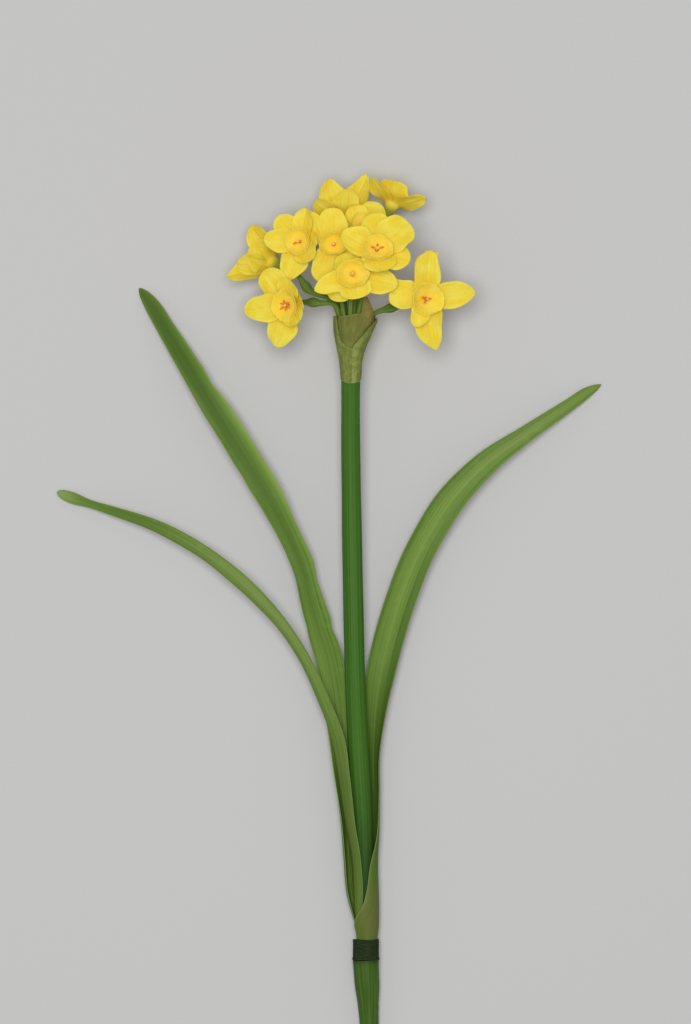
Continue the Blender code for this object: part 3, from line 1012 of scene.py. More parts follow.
@dataclass(frozen=True)
class StrapLeaf:
    """A strap leaf: an arched strip carried along its midrib.

    Attributes:
        name: The piece's name.
        node: The node that it stands for.
        rows: (x, y, z, width, facing, bend) from the base to the tip, mm and degrees. Facing turns
            about the leaf's run: 90 looks up, 0 right and 180 left. Bend is the section's whole arc.
        nicks: Where the margins are drawn in.
        patches: Soft patches of tone.
        ripple: The height of the slow waves of the margins, mm.
        thickness: In the middle of the leaf, mm.
        edge_line: How strong the margin line is.
        tip: The length of its rounded end, as a share of the leaf's.
        stations: Rows of the grid, but for those of the rounded end.
        cells: Cells across it.
        RIB: The height of the ribs, mm.
        KEEL: The height of the keel under the midrib, mm.
        END_START: Where the rounded end's rows start, as a share of the length.
        FULL_WIDTH: The width from which the relief and the thickness are whole, mm.
    """

    name: str
    node: str
    rows: tuple[tuple[float, ...], ...]
    nicks: tuple[Nick, ...] = ()
    patches: tuple[Patch, ...] = ()
    ripple: float = 0.35
    thickness: float = 0.85
    edge_line: float = 0.45
    tip: float = 0.012
    stations: int = 340
    cells: int = 40

    RIB = 0.07
    KEEL = 0.25
    END_START = 0.985
    FULL_WIDTH = 12.0

    def shares(self) -> Array:
        """Where the rows lie along the leaf, from 0 to 1, crowded towards the rounded end.

        Returns:
            One share for each row.
        """
        end = np.sin(np.linspace(0.0, math.pi / 2, 25)[1:])
        blade = self.END_START * np.linspace(0.0, 1.0, self.stations) ** 1.08
        return np.append(blade, 1.0 - (1 - self.END_START) * (1 - end))

    def reach(self, s: Array, t: Array) -> Array:
        """The place across the section, from -1 to 1, drawn in by the nicks and at the rounded end.

        Args:
            s: Shares along the leaf, as a column.
            t: Even places across it, as a row.

        Returns:
            (rows, columns) places across.
        """
        reach = t + 0.0 * s
        for nick in self.nicks:
            same = np.clip(t * nick.margin.value, 0.0, 1.0)
            reach = reach * (1 - nick.depth * same * hump(nick.along, nick.spread, s))
        into_tip = np.clip((s - 1 + self.tip) / self.tip, 0.0, 1.0)
        return reach * np.sqrt(np.clip(1 - into_tip**2, 0.01, 1.0))

    def relief(self, s: Array, t: Array, room: Array) -> Array:
        """How far each point moves towards the section's centre: ribs, a keel and wavy margins, mm.

        Args:
            s: Shares along the leaf, as a column.
            t: Even places across it, as a row.
            room: From 0 to 1, how wide the leaf is for its relief, as a column.

        Returns:
            (rows, columns) heights.
        """
        ribs = self.RIB * np.cos(11 * math.pi * t + 0.8)
        keel = self.KEEL * (np.abs(t) ** 1.5 - hump(0.0, 0.09, t))
        phase = np.where(t > 0, 0.0, 1.7) + 3 * np.sin(9 * s)
        wave = self.ripple * np.abs(t) ** 3 * np.sin(34 * s + phase) * ease(0.15, 0.4, s)
        return room * (ribs + keel + wave) * ease(0.0, 0.05, 1 - s)

    def tones(self, s: Array, t: Array) -> dict[str, Array]:
        """The margin line and the patches, as numbers on the grid of shares s and places t.

        Args:
            s: Shares along the leaf, as a column.
            t: Places across from -1 to 1, as a row.

        Returns:
            The tones by name.
        """
        tones = {name: 0.0 * s * t for name in ("pale", "dark", "brown")}
        tones["edge"] = self.edge_line * ease(0.93, 1.0, np.abs(t)) + 0.0 * s
        for patch in self.patches:
            spot = patch.strength * hump(patch.along, patch.length, s) * hump(patch.across, patch.width, t)
            tones[patch.tone] = np.clip(tones[patch.tone] + spot, 0.0, 1.0)
        return tones

    def surface(self) -> Surface:
        """The strip: midrib + R sin(a) across + R (1 - cos(a)) normal, with its relief.

        R is the width over the arc, and a runs over the arc.

        Returns:
            The closed shell, thin at its margins.
        """
        shares = self.shares()
        rows = through(np.array(self.rows), shares)
        run = unit(np.gradient(rows[:, :3], axis=0))
        right = unit(np.cross(run, UP))
        over = np.cross(right, run)
        facing = np.radians(rows[:, 4:5])
        normal = np.cos(facing) * right + np.sin(facing) * over
        across = np.cross(normal, run)
        s, t = shares[:, None], np.linspace(-1.0, 1.0, self.cells + 1)[None, :]
        arc = np.radians(np.maximum(rows[:, 5:6], 1.0))
        radius = np.maximum(rows[:, 3:4], 0.3) / arc
        turn = self.reach(s, t) * arc / 2
        middle, normal, across = rows[:, None, :3], normal[:, None], across[:, None]
        side, rise = (radius * np.sin(turn))[..., None], (radius * (1 - np.cos(turn)))[..., None]
        inward = np.cos(turn)[..., None] * normal - np.sin(turn)[..., None] * across
        room = np.clip(rows[:, 3:4] / self.FULL_WIDTH, 0.0, 1.0)
        points = middle + side * across + rise * normal + self.relief(s, t, room)[..., None] * inward
        thick = self.thickness * (0.34 + 0.66 * (1 - t**4)) * (0.5 + 0.5 * room)
        return thicken(sheet(points, self.tones(s, t)), thick)

    def build(self, look: Look) -> None:
        """Adds the leaf with its material."""
        add_piece(self.name, self.surface(), look, "leaf_green", self.node)


# The "dark" patches on the leaves are painted shade.
RIGHT_LEAF = StrapLeaf(
    name="broad_right_leaf",
    node="right_leaf",
    rows=(
        (13.3, 46.4, 7.0, 28.8, 180, 310),
        (13.3, 57.0, 7.4, 28.8, 180, 310),
        (13.9, 63.0, 7.9, 33.0, 182, 296),
        (14.0, 71.0, 7.0, 28.0, 170, 225),
        (13.8, 79.0, 6.6, 24.0, 165, 190),
        (13.0, 94.0, 5.4, 21.0, 155, 160),
        (12.6, 108.0, 4.8, 17.5, 142, 120),
        (12.4, 128.0, 4.6, 15.5, 138, 95),
        (12.4, 150.0, 5.0, 15.0, 138, 78),
        (13.4, 170.0, 5.8, 14.5, 120, 62),
        (17.2, 197.0, 8.0, 15.8, 97, 48),
        (25.5, 227.0, 11.0, 15.6, 92, 40),
        (38.0, 257.0, 13.6, 15.4, 88, 32),
        (52.5, 279.5, 14.8, 14.8, 86, 28),
        (67.0, 294.5, 14.2, 12.6, 86, 26),
        (87.5, 309.5, 11.0, 9.0, 88, 26),
        (109.7, 324.5, 5.4, 6.4, 90, 26),
        (120.0, 331.6, 2.4, 5.0, 90, 20),
        (126.5, 335.2, 0.6, 1.6, 90, 10),
    ),
    patches=(
        Patch("pale", 0.60, 0.05, 0.26, 0.28, 0.7),
        Patch("edge", 0.88, 0.10, 0.14, 0.60, 0.42),
        Patch("dark", 0.44, -0.80, 0.26, 0.38, 0.75),
        Patch("dark", 0.66, 0.95, 0.20, 0.25, 0.6),
        Patch("dark", 0.10, 0.0, 0.20, 1.60, 0.8),
        Patch("dark", 0.32, 0.0, 0.12, 1.2, 0.5),
        Patch("brown", 0.06, 0.0, 0.06, 1.6, 0.6),
        Patch("brown", 1.0, 0.0, 0.008, 1.5, 0.5),
    ),
)
LEFT_LONG_LEAF = StrapLeaf(
    name="tall_left_leaf",
    node="left_long_leaf",
    rows=(
        (4.9, 46.4, 4.4, 6.2, 40, 88),
        (4.9, 57.0, 4.8, 6.3, 40, 92),
        (3.9, 64.0, 5.1, 8.2, 40, 94),
        (2.2, 70.0, 5.0, 10.4, 38, 100),
        (0.0, 79.0, 5.2, 12.0, 36, 100),
        (-1.5, 97.0, 5.6, 13.2, 36, 98),
        (-2.4, 113.0, 5.6, 14.4, 38, 94),
        (-4.2, 138.0, 5.6, 14.6, 50, 84),
        (-5.4, 160.0, 5.8, 14.2, 66, 70),
        (-7.4, 180.0, 6.6, 14.2, 82, 54),
        (-10.4, 197.0, 8.0, 14.2, 88, 44),
        (-14.8, 212.0, 9.4, 14.2, 90, 40),
        (-19.2, 227.0, 11.0, 12.4, 90, 38),
        (-22.8, 242.0, 12.4, 11.8, 90, 38),
        (-29.0, 257.0, 13.8, 11.4, 92, 36),
        (-36.5, 272.0, 15.0, 13.4, 92, 32),
        (-54.0, 302.0, 15.6, 14.6, 92, 30),
        (-73.0, 332.0, 13.0, 12.8, 92, 30),
        (-91.8, 362.0, 6.0, 9.2, 92, 34),
        (-101.0, 377.0, 2.2, 7.0, 90, 36),
        (-106.0, 383.6, 0.6, 3.0, 90, 14),
    ),
    nicks=(
        Nick(Margin.FIRST, 0.53, 0.22, 0.018),
        Nick(Margin.FIRST, 0.455, 0.16, 0.012),
        Nick(Margin.FIRST, 0.62, 0.06, 0.014),
        Nick(Margin.FIRST, 0.83, 0.16, 0.016),
        Nick(Margin.LAST, 0.70, 0.06, 0.012),
        Nick(Margin.LAST, 0.47, 0.07, 0.010),
    ),
    patches=(
        Patch("pale", 0.74, -0.80, 0.16, 0.22, 0.9),
        Patch("edge", 0.74, -0.97, 0.16, 0.14, 0.7),
        Patch("dark", 0.80, 0.25, 0.24, 0.60, 0.85),
        Patch("dark", 0.95, -0.2, 0.12, 1.2, 0.7),
        Patch("dark", 0.52, 0.2, 0.16, 0.60, 0.35),
        Patch("pale", 0.40, 0.5, 0.10, 0.40, 0.6),
        Patch("dark", 0.15, 0.0, 0.14, 1.4, 0.5),
        Patch("brown", 0.335, 0.25, 0.03, 0.35, 0.3),
        Patch("brown", 1.0, 0.0, 0.006, 1.5, 0.5),
    ),
    ripple=0.8,
)
LEFT_LOW_LEAF = StrapLeaf(
    name="low_left_leaf",
    node="left_low_leaf",
    rows=(
        (4.1, 63.0, 10.0, 2.8, -30, 40),
        (3.2, 70.0, 10.7, 7.0, -30, 84),
        (2.8, 79.0, 11.4, 9.2, -30, 98),
        (1.8, 97.0, 12.4, 9.0, -32, 86),
        (-0.4, 113.0, 13.8, 7.4, -44, 66),
        (-3.3, 138.0, 15.0, 7.2, -56, 50),
        (-5.8, 155.0, 15.8, 7.6, -60, 42),
        (-14.0, 177.5, 17.6, 7.0, -60, 36),
        (-24.0, 199.0, 19.6, 6.8, -60, 34),
        (-35.0, 215.5, 20.8, 7.0, -62, 32),
        (-47.0, 228.6, 21.4, 8.4, -64, 30),
        (-71.0, 249.0, 20.6, 7.8, -66, 28),
        (-95.0, 262.8, 16.2, 6.8, -70, 26),
        (-119.0, 271.4, 9.0, 4.8, -80, 24),
        (-131.0, 275.2, 5.2, 4.0, -90, 24),
        (-141.0, 278.6, 2.2, 5.8, -94, 22),
        (-147.5, 281.0, 0.7, 3.6, -92, 14),
    ),
    patches=(
        Patch("edge", 0.58, 0.1, 0.20, 0.7, 0.4),
        Patch("dark", 0.16, 0.0, 0.22, 1.4, 0.8),
        Patch("brown", 0.12, -0.2, 0.16, 1.4, 0.25),
        Patch("edge", 1.0, 0.0, 0.035, 1.5, 0.7),
        Patch("dark", 0.86, 0.0, 0.10, 1.2, 0.4),
    ),
    thickness=0.75,
)


# ---------------------------------------------------------------- spathe


@dataclass(frozen=True)
class Spathe:
    """The bract below the umbel: a green sheath that opens in a V, over a dry inner panel.

    Attributes:
        profile: (y, x of the middle, half width) up the cup.
        depth: The cup's depth over its width.
        lean: How far its axis rises for each mm along it.
        crown: (y, z) of the scape's end inside it.
        opening: (y, angle of the left edge, angle of the right edge) of the V, degrees. Angles
            turn from the right, over the front, to the left.
        foot: (y at the front, rise to the back) of the sheath's foot, mm.
        rim: (y at the front, fall to the back) of the sheath's rim, mm.
        rim_slant: How much higher its rim is at the left than in the middle, mm.
        lapel_rise: How far the right lapel lies over the start of the wrap, mm.
        lapel_curl: How far the left and the right lapel curl out at the V, mm.
        clasp: How much closer the sheath's foot clings to the scape, mm.
        crimps: The sheath's fine folds, against y in mm.
        panel_foot: y of the panel's foot, mm.
        panel_rim: y of the panel's rim, mm.
        point_rise: How far the panel's point stands over its rim, mm.
        back_fall: How far the panel's rim falls at the back, mm.
        panel_slant: How much higher its rim is at the right than in the middle, mm.
        panel_inset: How far inside the cup's profile the panel lies, mm.
        panel_lip: How far its rim turns in, mm.
        crumples: The panel's folds, against y in mm.
        notches: The ragged waves of its rim, mm.
        wall: The tissue's thickness, mm.
        ROUND: The stretch of y over which the cup's section turns from round to its depth, mm.
        SEAT: The stretch of y over which the sheath's foot clings to the scape, mm.
        CRIMP: The stretch over which its crimps set in, mm.
        CURL: The stretch over which its lapels start to curl, mm.
        DRYING: The stretch over which it dries out, mm.
        TIP: (start, top, end of top, end) of the panel's point round the cup, degrees.
        FALLEN: The same of the low stretch at its back, degrees.
    """

    profile: tuple[Point, ...] = (
        (334.8, 0.45, 4.95),
        (338.0, 0.45, 5.0),
        (342.0, 0.5, 5.15),
        (347.0, 0.4, 5.7),
        (351.0, 0.5, 6.6),
        (355.0, 0.75, 7.7),
        (358.0, 1.1, 8.7),
        (361.5, 1.6, 9.7),
        (366.0, 2.6, 10.75),
        (371.0, 2.5, 10.6),
        (379.0, 2.4, 8.6),
    )
    depth: float = 0.9
    lean: float = 0.11
    crown: tuple[float, float] = (351.0, 26.6)
    opening: tuple[Point, ...] = (
        (334.0, 66.0, 448.0),
        (345.0, 66.0, 446.0),
        (352.0, 72.0, 444.0),
        (353.6, 101.0, 443.0),
        (355.5, 127.0, 435.0),
        (357.1, 131.0, 428.3),
        (360.9, 135.0, 412.8),
        (364.8, 141.0, 400.2),
        (370.5, 149.0, 373.6),
    )
    foot: tuple[float, float] = (335.3, 4.8)
    rim: tuple[float, float] = (369.0, 1.2)
    rim_slant: float = 0.5
    lapel_rise: float = 0.55
    lapel_curl: tuple[float, float] = (0.8, 0.7)
    clasp: float = 0.1
    crimps: tuple[Wave, ...] = (Wave(0.12, 7, 0.25), Wave(0.05, 17, 0.6))
    panel_foot: float = 348.0
    panel_rim: float = 369.6
    point_rise: float = 8.4
    back_fall: float = 2.0
    panel_slant: float = 0.8
    panel_inset: float = 0.75
    panel_lip: float = 0.5
    crumples: tuple[Wave, ...] = (Wave(0.16, 7, 0.35), Wave(0.10, 17, -0.2))
    notches: tuple[Wave, ...] = (Wave(0.245, 5, 0.0, 0.4), Wave(0.105, 13))
    wall: float = 0.4

    ROUND = (340.0, 354.0)
    SEAT = (335.0, 338.0)
    CRIMP = (334.0, 344.0)
    CURL = (353.0, 358.0)
    DRYING = (358.0, 372.0)
    TIP = (14.0, 40.0, 56.0, 74.0)
    FALLEN = (185.0, 250.0, 290.0, 350.0)

    def ring(self, y: Array, angle: Array, layer: Array) -> Array:
        """Places on the cup: (x + r cos a, y, z + depth r sin a), round at the foot.

        Args:
            y: Along the stem.
            angle: Round the cup, radians.
            layer: How far outside the cup's profile, mm.

        Returns:
            (..., 3) places.
        """
        table = np.array(self.profile)
        middle = np.interp(y, table[:, 0], table[:, 1])
        radius = np.interp(y, table[:, 0], table[:, 2]) + layer
        depth = 1 - (1 - self.depth) * ease(*self.ROUND, y)
        z = self.crown[1] + self.lean * (y - self.crown[0]) + depth * radius * np.sin(angle)
        return np.stack([middle + radius * np.cos(angle), y, z], axis=-1)

    def wrapped(self, y: Array, u: Array) -> Array:
        """Angles round the cup at y, at shares u of the way between the V's edges, radians.

        Args:
            y: Along the stem, mm.
            u: Shares from the left edge to the right one.

        Returns:
            The angles, of the shape that y and u have together.
        """
        table = np.array(self.opening)
        left, right = (np.radians(np.interp(y, table[:, 0], table[:, k])) for k in (1, 2))
        return left + u * (right - left)

    def sheath(self) -> Surface:
        """The green outer wrap, from the V's left edge round the back to its right edge.

        Across runs between the two edges and along from the slanting foot to the rim. The right
        lapel lies over the start of the wrap, and both lapels curl out a little at the V.

        Returns:
            The closed shell.
        """
        u = np.linspace(0.0, 1.0, 150)[None, :]
        v = np.linspace(0.0, 1.0, 84)[:, None]
        angle = self.wrapped(336.0 + 34.0 * v + 0.0 * u, u)
        back = 0.5 - 0.5 * np.sin(angle)
        foot = self.foot[0] + self.foot[1] * back**0.95
        rim = self.rim[0] - self.rim[1] * back - self.rim_slant * np.cos(angle)
        y = foot + v * (rim - foot)
        angle = self.wrapped(y, u)
        overlap = self.lapel_rise * ease(0.80, 0.97, u)
        left, right = self.lapel_curl
        curl = ease(*self.CURL, y) * (right * ease(0.93, 1.0, u) + left * (1 - ease(0.0, 0.06, u)))
        crimp = ripples(self.crimps, angle, y) * ease(*self.CRIMP, y)
        seat = self.clasp * (1 - ease(*self.SEAT, y))
        points = self.ring(y, angle, overlap + curl + crimp - seat)
        pale = 0.8 * ease(0.90, 0.955, u) * (1 - 0.4 * ease(0.995, 1.0, u)) * (1 - ease(360.0, 369.0, y))
        pale = pale + 0.75 * (1 - ease(0.01, 0.09, u)) * ease(352.0, 356.0, y)
        tones = {
            "pale": np.clip(pale, 0, 1),
            "dry": ease(*self.DRYING, y) * (0.35 + 0.5 * ease(0.7, 1.0, u)),
            "tan": 0.35 * hump(340.5, 1.6, y) * hump(0.96, 0.02, u),
        }
        return thicken(sheet(points, tones), self.wall)

    def panel(self) -> Surface:
        """The dry inner cup, whose rim rises to a point at the right of the front.

        Returns:
            The closed shell.
        """
        angle = around(160)
        v = np.linspace(0.0, 1.0, 60)[:, None]
        turned = np.degrees(angle)
        point = plateau(self.TIP, turned)
        rim = self.panel_rim + self.panel_slant * np.cos(angle) + ripples(self.notches, angle, 0.0)
        rim = rim + self.point_rise * point - self.back_fall * plateau(self.FALLEN, turned)
        y = self.panel_foot + v * (rim - self.panel_foot)
        lip = self.panel_lip * ease(0.92, 1.0, v) * (1 - point)
        points = self.ring(y, angle, v * ripples(self.crumples, angle, y) - self.panel_inset - lip)
        tan = 0.75 * point * ease(360.0, 370.0, y) + 0.8 * ease(0.93, 1.0, v) * hump(110.0, 34.0, turned)
        tones = {"pale": 0.0 * y, "dry": 0.55 + 0.3 * ease(362.0, 370.0, y), "tan": np.clip(tan, 0, 1)}
        return thicken(sheet(points, tones, closed=True), self.wall)

    def build(self, look: Look) -> None:
        """Adds both pieces with their material."""
        add_piece("spathe_sheath", self.sheath(), look, "spathe_paper", "spathe")
        add_piece("spathe_panel", self.panel(), look, "spathe_paper", "spathe")


# ---------------------------------------------------------------- florets


@dataclass(frozen=True)
class Petal:
    """One petal, in its floret's own axes.

    Attributes:
        turn: The direction that it points, degrees from the floret's right towards its top.
        reach: The length of its midrib from the floret's axis, mm.
        lift: Its slope out of the floret's plane, degrees.
        width: A share of the usual width.
        cup: The half angle of its cross arc, degrees, positive where its margins rise.
        curl: How far its outer half bends up, degrees.
        bow: How far its middle sweeps sideways, mm.
        twist: How far it turns about its midrib towards the tip, degrees.
        point: The tip's form: 0.45 is round, 0.8 is pointed.
        taper: How late it narrows: 5 keeps it broad, 2.5 narrows it from the middle.
        skew: Which edge is the straighter one: 1 the side of a growing turn, -1 the other.
    """

    turn: float
    reach: float
    lift: float
    width: float = 1.0
    cup: float = 0.0
    curl: float = 0.0
    bow: float = 0.0
    twist: float = 0.0
    point: float = 0.52
    taper: float = 4.0
    skew: float = 0.0


@dataclass(frozen=True)
class WhorlShape:
    """What differs between the two whorls.

    Attributes:
        word: The whorl's word in node names.
        throat: (radius, height) where the petals part.
        tube: (radius, height) rings below it, from the foot up.
        cup: The half angle of its petals' cross arc, degrees.
    """

    word: str
    throat: tuple[float, float]
    tube: tuple[tuple[float, float], ...]
    cup: float


class Whorl(Enum):
    """The two whorls of three petals."""

    OUTER = WhorlShape(
        "outer", (3.6, 0.0), ((1.7, -11.0), (1.75, -9.0), (2.1, -5.5), (2.4, -3.6), (2.9, -1.6)), -9.0
    )
    INNER = WhorlShape("inner", (3.3, 1.15), ((1.55, -2.6), (2.1, -1.0), (2.8, 0.4)), 13.0)


@dataclass(frozen=True)
class Anther:
    """One pollen sac.

    Attributes:
        turn: Its direction round the style, degrees.
        out: How far from the axis its middle is, mm.
        height: Its middle's height over the throat, mm.
        spread: How far it leans out from the axis, degrees.
        length: Its length, mm.
        FOOT: (distance from the axis, height over the throat) of its filament's start, mm.
    """

    turn: float
    out: float
    height: float
    spread: float
    length: float = 2.6

    FOOT = (0.75, -2.2)

    def axis(self) -> tuple[Array, Array]:
        """Its middle, and the direction in which it stands, in the floret's axes.

        Returns:
            The middle's place in mm, and a unit vector.
        """
        turn, lean = math.radians(self.turn), math.radians(self.spread)
        radial = np.array((math.cos(turn), math.sin(turn), 0.0))
        return self.out * radial + self.height * UP, math.sin(lean) * radial + math.cos(lean) * UP

    def foot(self) -> Array:
        """Where its filament leaves the tube, in the floret's axes."""
        turn = math.radians(self.turn)
        return np.array((self.FOOT[0] * math.cos(turn), self.FOOT[0] * math.sin(turn), self.FOOT[1]))


def three_anthers(turn: float, out: float, height: float, spread: float) -> tuple[Anther, ...]:
    """Evenly spaced anthers, the first at turn."""
    return tuple(Anther(turn + 120.0 * k, out, height, spread) for k in range(3))


@dataclass(frozen=True)
class FloretLooks:
    """The materials of one floret's pieces."""

    stalk: Look
    petal: Look
    corona: Look
    anther: Look
    style: Look


@dataclass(frozen=True)
class Floret:
    """One floret of the umbel, on its stalk.

    Attributes:
        name: Its place in the umbel, as in the node names.
        throat: Where its petals part from the tube, mm.
        facing: The direction that it faces.
        seat: (x, z) of the stalk's seat from the crown's middle.
        bends: The stalk's route between its seat and the tube.
        ovary: How far the ovary lies below the tube, mm.
        outer: The outer petals.
        inner: The inner petals.
        anthers: Its pollen sacs.
        cup_scale: The corona's size over the usual one, to its right and to its top.
        cup_turn: The phase of the corona's waves, degrees.
        cup_fold: (direction, depth) of a fold in the corona, degrees and mm.
        shed: Whether its pollen is shed, which leaves the anthers pale.
        CROWN: The middle of the scape's end, where the stalks start, mm.
        TUBE: The length of the flower tube, mm.
        STALK: The stalk's radius, mm.
        OVARY: The ovary's radius, mm.
        OVARY_LENGTH: The ovary's length, mm.
        STRAIGHT: How far the stalk's path runs straight before the tube, mm.
        STYLE_FOOT: Where the style starts on the axis, mm over the throat.
        STYLE: The style's length, mm.
        KNOB: (radius of the style, what its stigma adds), mm.
        SAC: A pollen sac's radius, mm.
        FILAMENT_BOW: How far a filament's middle stands out from a straight line, mm.
        FILAMENT: A filament's radius, mm.
        PETAL_WIDTH: The usual width of a petal, mm.
        PETAL_WALL: Its thickness along the midrib, mm.
        PETAL_THINS: How much thinner its margins are, mm.
        NECK: A petal's width at the throat, as a share of its broadest.
        UNEVEN: How far its margins leave the smooth outline, as a share of the half width.
        PLEAT: The height of its pleats, mm.
        GROOVE: The depth of the groove along its midrib, mm.
        RIPPLE: The height of the waves of its margins, mm.
        START_SLOPE: The slope at which petals leave the throat, degrees.
        CUP: (radius, height) rings of the corona, from the throat to the rim, mm.
        CUP_WALL: The corona's thickness, mm.
        CUP_THINS: How much thinner its rim is, mm.
        LOBES: How far its rim bulges, against the cup's own turn in radians, mm.
        RIM_WAVES: How far its rim waves up and down, mm.
        RIM_ROLL: How far the last of its rim rolls down, mm.
        CREASE: The height of its radial folds, mm.
        COLUMNS: Cells across a petal.
        ROWS: Rows of points along a petal.
    """

    name: str
    throat: Point
    facing: Point
    seat: tuple[float, float]
    bends: tuple[Point, ...]
    ovary: float
    outer: tuple[Petal, ...]
    inner: tuple[Petal, ...]
    anthers: tuple[Anther, ...] = three_anthers(90.0, 1.3, 4.6, 35.0) + three_anthers(30.0, 1.1, 2.6, 15.0)
    cup_scale: tuple[float, float] = (1.0, 1.0)
    cup_turn: float = 0.0
    cup_fold: tuple[float, float] = (60.0, 0.0)
    shed: bool = False

    CROWN = (0.6, 351.0, 26.6)
    TUBE = 11.0
    STALK = 1.25
    OVARY = 2.45
    OVARY_LENGTH = 8.0
    STRAIGHT = 3.5
    STYLE_FOOT = -2.4
    STYLE = 7.9
    KNOB = (0.34, 0.42)
    SAC = 0.52
    FILAMENT_BOW = 0.25
    FILAMENT = 0.17
    PETAL_WIDTH = 14.5
    PETAL_WALL = 0.5
    PETAL_THINS = 0.26
    NECK = 0.78
    UNEVEN = 0.045
    PLEAT = 0.09
    GROOVE = 0.3
    RIPPLE = 0.6
    START_SLOPE = 55.0
    CUP = ((1.0, 1.3), (2.5, 1.9), (3.6, 2.3), (4.8, 2.8), (5.9, 3.7), (6.8, 4.6), (7.4, 5.5), (7.9, 6.3))
    CUP_WALL = 0.42
    CUP_THINS = 0.2
    LOBES = (Wave(0.34, 3, 1.0, QUARTER), Wave(0.2, 7, -2.0, QUARTER), Wave(0.07, 17, 0.0, QUARTER))
    RIM_WAVES = (
        Wave(0.4, 3, 1.0, QUARTER + 1.0), Wave(0.26, 5, 3.0, QUARTER), Wave(0.1, 19, 0.0, QUARTER)
    )
    RIM_ROLL = 0.35
    CREASE = 0.1
    COLUMNS = 24
    ROWS = 34

    def axes(self) -> Array:
        """The floret's right, top and outward directions, as rows.

        Returns:
            Three unit vectors.
        """
        out = unit(np.array(self.facing))
        right = unit(np.array((1.0, 0.0, 0.0)) - out[0] * out)
        return np.array((right, np.cross(out, right), out))

    def placed(self, local: Array) -> Array:
        """Design places of points in the floret's own axes."""
        return np.array(self.throat) + local @ self.axes()

    def midrib(self, petal: Petal, shape: WhorlShape) -> tuple[Array, Array, Array, Array]:
        """A petal's midrib, in the plane through the floret's axis.

        It starts steep and eases to its lift: the slope at share s is
        lift + (START_SLOPE - lift) exp(-s / 0.07) + curl ease(s).

        Args:
            petal: The petal.
            shape: Its whorl.

        Returns:
            Four columns: the share along the midrib, the distance from the floret's axis, the
            height over its throat and the slope.
        """
        fine = np.linspace(0.0, 1.0, 400)
        start = (self.START_SLOPE - petal.lift) * np.exp(-fine / 0.07)
        slope = np.radians(petal.lift + start + petal.curl * ease(0.4, 1.0, fine))
        step = (petal.reach - shape.throat[0]) / len(fine)
        run, rise = (np.append(0.0, np.cumsum(part)[:-1]) * step for part in (np.cos(slope), np.sin(slope)))
        s = np.sin(np.linspace(0.0, math.pi / 2, self.ROWS)) ** 1.15
        s[-1] = 0.9985
        columns = (fine, shape.throat[0] + run, shape.throat[1] + rise, slope)
        return tuple(np.interp(s, fine, column)[:, None] for column in columns)

    def section(self, petal: Petal, s: Array, t: Array, cup: float) -> tuple[Array, Array]:
        """The cross sections of a petal, along its midrib.

        The width is (NECK + (1 - NECK) ease(s)) (1 - s^taper)^point, with uneven margins. A section
        is an arc over a groove and pleats, turned about the midrib by the twist.

        Args:
            petal: The petal.
            s: Shares along the midrib, as a column.
            t: Places across from -1 to 1, as a row.
            cup: The whorl's half angle of the arc, degrees.

        Returns:
            How far each point lies to the side of the midrib, and how far over it, mm.
        """
        outline = (self.NECK + (1 - self.NECK) * ease(0.0, 0.4, s)) * (1 - s**petal.taper) ** petal.point
        phase = math.radians(petal.turn * 3.0)
        uneven = 1 + self.UNEVEN * np.abs(t) * np.sin(10.0 * s + 1.7 * phase + np.where(t > 0, 0.0, 1.9))
        broadest = petal.width * self.PETAL_WIDTH / 2
        half = broadest * outline
        bend = np.radians(cup + petal.cup) * ease(0.0, 0.35, s) + 1e-4
        side = half * uneven * np.sin(bend * t) / bend
        rise = half * (1 - np.cos(bend * t)) / bend
        tender = ease(0.05, 0.35, s) * np.sqrt(np.clip(half / 6.0, 0.0, 1.0))
        pleats = self.PLEAT * np.cos(8 * math.pi * t * (1 - 0.25 * s) + phase)
        groove = self.GROOVE * hump(0.0, 0.12, t)
        ripple = self.RIPPLE * np.abs(t) ** 3 * np.sin(8.0 * s + phase + np.where(t > 0, 0.0, 2.1))
        rise = rise + tender * (pleats - groove + ripple)
        turned = math.radians(petal.twist) * ease(0.1, 1.0, s)
        sweep = petal.bow * np.sin(math.pi * s * 0.9) + petal.skew * broadest * (1 - outline)
        cos, sin = np.cos(turned), np.sin(turned)
        return side * cos - rise * sin + sweep, side * sin + rise * cos

    def petal(self, petal: Petal, sector: Array, shape: WhorlShape) -> tuple[Array, Array]:
        """One petal's grid in the floret's axes. Near the throat it blends into the tube's ring.

        Args:
            petal: The petal.
            sector: The directions of its columns on the throat's ring, radians.
            shape: Its whorl.

        Returns:
            (rows, columns, 3) points, the first row on the ring, and the midrib's shares.
        """
        s, r, h, slope = self.midrib(petal, shape)
        side, rise = self.section(petal, s, self.across(), shape.cup)
        here = math.radians(petal.turn)
        along, height = r - rise * np.sin(slope), h + rise * np.cos(slope)
        x = along * math.cos(here) - side * math.sin(here)
        y = along * math.sin(here) + side * math.cos(here)
        free = np.stack([x, y, height], axis=-1)
        bound = np.stack([r * np.cos(sector), r * np.sin(sector), h + 0.0 * sector], axis=-1)
        return bound + ease(0.0, 0.3, s)[..., None] * (free - bound), s

    def across(self) -> Array:
        """Even places across a petal, from -1 to 1, as a row."""
        return np.linspace(-1.0, 1.0, self.COLUMNS + 1)[None, :]

    def sectors(self, petals: list[Petal]) -> Array:
        """The directions of the petals' columns, which share the ring halfway between neighbours.

        Args:
            petals: The whorl's petals by growing turn.

        Returns:
            (petals, columns) angles, radians.
        """
        middles = np.radians([p.turn for p in petals])
        gaps = (np.roll(middles, -1) - middles) % (2 * math.pi)
        before, after = np.roll(gaps, 1)[:, None] / 2, gaps[:, None] / 2
        t = self.across()
        return middles[:, None] + t * np.where(t < 0, before, after)

